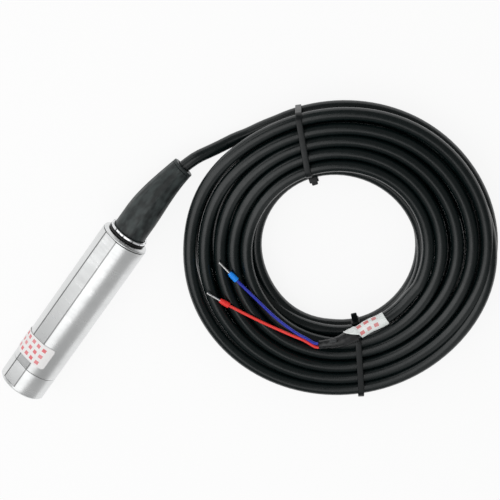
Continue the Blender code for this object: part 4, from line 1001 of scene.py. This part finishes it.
def endPlug():
    # turned outline with a groove for its O-ring and a hollow stem
    p = plugLook
    insert, hole = radii["insert"], radii["hole"]
    profile = [(p["start"], p["seal"]), (p["start"], insert), (p["groove"][0], insert),
               (p["groove"][0], p["groove"][2]), (p["groove"][1], p["groove"][2]), (p["groove"][1], insert),
               (p["shoulder"], insert), (p["shoulder"], p["flangeRadius"]),
               (p["shoulder"] + p["flange"], p["flangeRadius"]), (p["top"], p["flangeRadius"] - p["shoulderWidth"]),
               (p["top"], p["stem"]), (p["stemEnd"], p["stem"]), (p["stemEnd"], hole), (p["sealEnd"], hole),
               (p["sealEnd"], p["seal"])]
    plug = turnedPiece("endPlug", profile, satinSteel, rounding=0.00015)
    return place(plug, "satin_steel", "end_plug")


endPlug()

ringLook = {"station": 0.1117, "section": 0.0014, "clampStart": 0.1126, "clampEnd": 0.1141, "wall": 0.0013,
            "notches": 12, "notchWidth": 0.0008, "notchDepth": 0.0003}
bootLook = {"start": 0.1109, "end": 0.1623, "root": 0.00975, "mouth": 0.00635, "taperStart": 0.25, "taperEnd": 1.1,
            "lip": 0.0016, "groove": 0.00035, "grooveWidth": 0.00016, "rounding": 0.0004, "sides": 96,
            "seam": 0.00007, "seamWidth": 0.004, "flutes": 16, "fluteDepth": 0.00005}


def rimRing():
    # small circle turned about the probe's axis
    angles = around(16)
    half = ringLook["section"] / 2
    middle = bootLook["root"] + clearance + half
    profile = np.stack([ringLook["station"] + half * np.cos(angles), middle + half * np.sin(angles)], axis=1)
    ring = gridPiece("rimRing", revolve(profile, turnAngles(96)), plastics["sealRubber"], wrapRows=True)
    return place(ring, "seal_rubber", "rim_o_ring")


def clampRing():
    # a turned ring whose outside dips by a short ramp at each notch
    inside = bootLook["root"] + clearance
    outside = inside + ringLook["wall"]
    start, end = ringLook["clampStart"], ringLook["clampEnd"]
    outline, mask = roundCorners([(start, inside), (start, outside), (end, outside), (end, inside)], 0.0003)
    pitch = 2 * np.pi / ringLook["notches"]
    half = ringLook["notchWidth"] / 2 / outside
    marks = np.array([-1.2, -0.85, 0.0, 0.85, 1.2]) * half
    centres = pitch * (np.arange(ringLook["notches"]) + 0.5)
    angles = np.sort(np.concatenate([(centres[:, None] + marks[None]).ravel(),
                                     (centres[:, None] + pitch * np.array([[0.2, 0.35, 0.5, 0.65, 0.8]])).ravel()]))
    off = np.abs((angles / pitch) % 1 - 0.5) * pitch / half
    notch = np.clip((1.2 - off) / 0.35, 0, 1)[None] * (outline[:, 1] > outside - 0.0005)[:, None]
    points = revolve(outline, angles, dip=ringLook["notchDepth"] * notch)
    edge = mask[:, None] + 0.0 * angles[None]
    # the notches get painted shade through the groove mask
    ring = gridPiece("clampRing", points, brightSteel, wrapRows=True, edge=edge, groove=0.8 * notch, sharp=25)
    return place(ring, "polished_steel", "clamp_ring")


def bootRadius(station):
    # straight root, then an eased taper to the mouth, with a thin groove before its lip
    share = (station - bootLook["start"]) / (bootLook["end"] - bootLook["start"]) - bootLook["taperStart"]
    share = np.clip(share / (bootLook["taperEnd"] - bootLook["taperStart"]), 0, 1)
    radius = bootLook["root"] + (bootLook["mouth"] - bootLook["root"]) * share * share * (3 - 2 * share)
    off = (station - bootLook["end"] + bootLook["lip"]) / bootLook["grooveWidth"]
    return radius - bootLook["groove"] * np.exp(-off ** 2)


def rubberBoot():
    # outer skin from the root to the mouth, round its lip, and back along the bore
    start, end, corner = bootLook["start"], bootLook["end"], bootLook["rounding"]
    stations = np.concatenate([np.linspace(start + corner, end - 0.0025, 60),
                               np.linspace(end - 0.0024, end - corner, 26)])
    skin = np.stack([stations, bootRadius(stations)], axis=1)
    t = np.linspace(0, 1, 6)[1:] * np.pi / 2
    lip = np.stack([end - corner + corner * np.sin(t), bootRadius(np.array([end]))[0] - corner * (1 - np.cos(t))],
                   axis=1)
    stem, hole = plugLook["stem"] + clearance, radii["hole"]
    inside = np.array([(end, hole + corner), (end - 0.0003, hole + 0.0001), (end - 2 * corner, hole)])
    back = np.linspace(end - 0.004, bend["start"] + 0.0002, 14)
    bore = np.stack([back, np.full(14, hole)], axis=1)
    root = np.array([(bend["start"], hole), (bend["start"], stem), (start, stem), (start, bootLook["root"] - corner),
                     (start + 0.0001, bootLook["root"] - 0.0001)])
    outline = np.concatenate([skin, lip, inside, bore, root])
    outer = np.arange(len(outline)) < len(stations)
    span = bend["end"] - bend["start"]
    share = np.maximum(0, outline[:, 0] - bend["start"]) / span
    along = unit(np.stack([np.ones(len(share)), 2 * bend["side"] * share / span, 2 * bend["drop"] * share / span],
                          axis=1))
    angles = around(bootLook["sides"])
    seam = np.exp(-((np.abs(np.sin(angles)) - 1) / bootLook["seamWidth"]) ** 2)  # the mould's parting line, each side
    flute = np.clip(share * 5, 0, 1) * np.clip((1 - share) * 8, 0, 1) * outer
    flute = bootLook["fluteDepth"] * flute[:, None] * np.cos(bootLook["flutes"] * angles)[None]
    radius = outline[:, 1][:, None] + bootLook["seam"] * seam[None] * outer[:, None] + flute
    points = rings(axisPoints(outline[:, 0]), radius, *levelFrame(along), angles)
    edge = np.zeros(points.shape[:2])
    edge[len(stations) - 2:len(stations) + 5] = 0.8
    boot = gridPiece("rubberBoot", points, plastics["bootRubber"], wrapRows=True, edge=edge, sharp=40)
    return place(boot, "black_rubber", "rubber_boot")


rimRing()
clampRing()
rubberBoot()

print("sticker")
stickerShape = {"start": 0.0205, "length": 0.014, "gap": 0.0002, "thickness": 0.00015,
                "from": math.radians(-22.0), "to": math.radians(103.0), "markShift": 0.0014, "corner": 0.0016,
                "slant": (0.0010, 0.0022)}  # how much nearer the nose its two edges are on the far side


def probeSticker():
    # a thin sheet bent round the body and its flat; its four corners are rounded
    cols, corner, body = 20, stickerShape["corner"], radii["body"]
    angles = np.linspace(stickerShape["from"], stickerShape["to"], 90)
    facing = np.cos(angles - sideOfFlat)
    inner = np.where(facing > 0.5, np.minimum(body, flatDistance / np.maximum(facing, 0.5)), body) + stickerShape["gap"]
    arc = (angles - angles[0]) * body
    fromEnd = np.minimum(arc, arc[-1] - arc)
    pull = corner - np.sqrt(np.clip(corner ** 2 - np.clip(corner - fromEnd, 0, None) ** 2, 0, None))
    share = np.linspace(0, 1, cols)
    far = 1 - arc / arc[-1]
    low = stickerShape["start"] + pull - stickerShape["slant"][0] * far
    high = stickerShape["start"] + stickerShape["length"] - pull - stickerShape["slant"][1] * far
    across = low[:, None] + (high - low)[:, None] * share[None]
    outer = inner + stickerShape["thickness"]
    station = np.concatenate([across, across[:, ::-1]], axis=1)
    radius = np.concatenate([np.repeat(outer[:, None], cols, axis=1), np.repeat(inner[:, None], cols, axis=1)], axis=1)
    points = np.stack([station + noseX, radius * np.cos(angles)[:, None],
                       axisHeight + radius * np.sin(angles)[:, None]], axis=-1)
    uv = np.stack([arc[:, None] - stickerShape["markShift"] + 0.0 * station, station - stickerShape["start"]], axis=-1)
    uv = np.concatenate([uv, uv[:, :1]], axis=1)
    sticker = gridPiece("probeSticker", points, stickerPaper, caps=True, uv=uv, sharp=40)
    return place(sticker, "sticker_paper", "probe_sticker")


probeSticker()

print("pieces kept from the solids")
keptNodes = (
    (satinSteel, ("sensor_retaining_ring", "sensor_capsule", "seal_washer")),
    (foilSteel, ("isolating_diaphragm",)),
    (goldPlate, [f"header_pin_{i}" for i in range(1, 5)]),
    (canMetal, ("surge_capacitor",)),
    (plastics["sealRubber"], ("sensor_o_ring", "plug_o_ring", "cable_seal")),
    (plastics["carrierPlastic"], ("board_carrier_front", "board_carrier_rear")),
    (plastics["solderMask"], ("circuit_board",)),
    (plastics["chipPlastic"], ("amplifier_chip",)),
    (plastics["terminalPlastic"], ("terminal_block",)),
    (plastics["redInsulation"], ("inner_red_lead",)),
    (plastics["blueInsulation"], ("inner_blue_lead",)),
)
for material, nodes in keptNodes:
    for node in nodes:
        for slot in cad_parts[node].material_slots:
            slot.material = material

print("floor and light")
studio = {
    "floor": 0.90,
    "floorShown": 0.88,  # share of plain white in the floor as the camera sees it
    "soft": 0.62,  # sky level for matt surfaces
    "dim": 0.14,  # and for reflections: dim all round but for a pale arch across the scene
    "arch": 0.55,
    "archPlace": (-0.33, 0.13),  # direction X of its middle, and its half width
    "nearPanel": {"spot": (-0.12, 0.16, 0.62), "target": (0.05, -0.06, 0.0), "size": (0.72, 0.72), "power": 1.6},
    "sidePanel": {"spot": (0.09, 1.6, 0.75), "target": (0.09, 0.0, 0.02), "size": (1.62, 0.8), "power": 3.6},
}


def makeStage():
    size = 6.0
    x, y = np.meshgrid(np.linspace(-size, size, 5), np.linspace(-size, size, 5), indexing="ij")
    material, tree, shader = newMaterial("studioFloor", specular=0.0)
    grain = useGroup(tree, surfaceGrain, {"Vector": objectCoords(tree), "Scale": 3.0})
    low, high = studio["floor"] - 0.01, studio["floor"] + 0.01
    feed(tree, shader, {"Base Color": mixColour(tree, grain["Fac"], (low, low, low, 1), (high, high, high, 1))})
    shader.inputs["Roughness"].default_value = 0.9
    glow = tree.nodes.new("ShaderNodeEmission")
    path = tree.nodes.new("ShaderNodeLightPath").outputs
    seen = plus(tree, path["Is Camera Ray"], plus(tree, path["Is Glossy Ray"],
                                                         path["Is Transmission Ray"]), clamp=True)
    mix = tree.nodes.new("ShaderNodeMixShader")
    feed(tree, mix, {0: times(tree, seen, studio["floorShown"]), 1: shader.outputs[0],
                     2: glow.outputs[0]})
    feed(tree, tree.nodes["Material Output"], {"Surface": mix.outputs[0]})
    floor = gridPiece("studioFloor", np.stack([x, y, 0.0 * x], axis=-1), material, wrapCols=False)
    if floor.data.polygons[0].normal.z < 0:
        floor.data.flip_normals()


def makeWorld():
    # an even level for matt surfaces, a pale arch for reflections, and plain white to the camera
    world = bpy.data.worlds.new("studio")
    scene.world = world
    world.use_nodes = True
    tree = world.node_tree
    split = tree.nodes.new("ShaderNodeSeparateXYZ")
    feed(tree, split, {0: tree.nodes.new("ShaderNodeTexCoord").outputs["Generated"]})
    middle, width = studio["archPlace"]
    off = calc(tree, "ABSOLUTE", calc(tree, "SUBTRACT", split.outputs[0], middle))
    gradient = remap(tree, off, width, 2 * width, studio["arch"], studio["dim"])
    path = tree.nodes.new("ShaderNodeLightPath").outputs
    soft = studio["soft"]
    level = mixColour(tree, path["Is Glossy Ray"], rgb((soft, soft, soft)), gradient)
    level = mixColour(tree, path["Is Camera Ray"], level, rgb((1, 1, 1)))
    feed(tree, tree.nodes["Background"], {"Color": level})
    tree.nodes["Background"].inputs["Strength"].default_value = 1.0


def areaLight(name, spot, target, size, power):
    data = bpy.data.lights.new(name, "AREA")
    data.shape = "RECTANGLE"
    data.size, data.size_y = size
    data.energy = power
    item = bpy.data.objects.new(name, data)
    scene.collection.objects.link(item)
    item.matrix_world = (Matrix.Translation(spot)
                         @ (Vector(target) - Vector(spot)).to_track_quat("-Z", "Y").to_matrix().to_4x4())
    item.visible_camera = False


makeStage()
makeWorld()
for panelName in ("nearPanel", "sidePanel"):
    areaLight(panelName, **studio[panelName])

scene.view_settings.view_transform = "Standard"
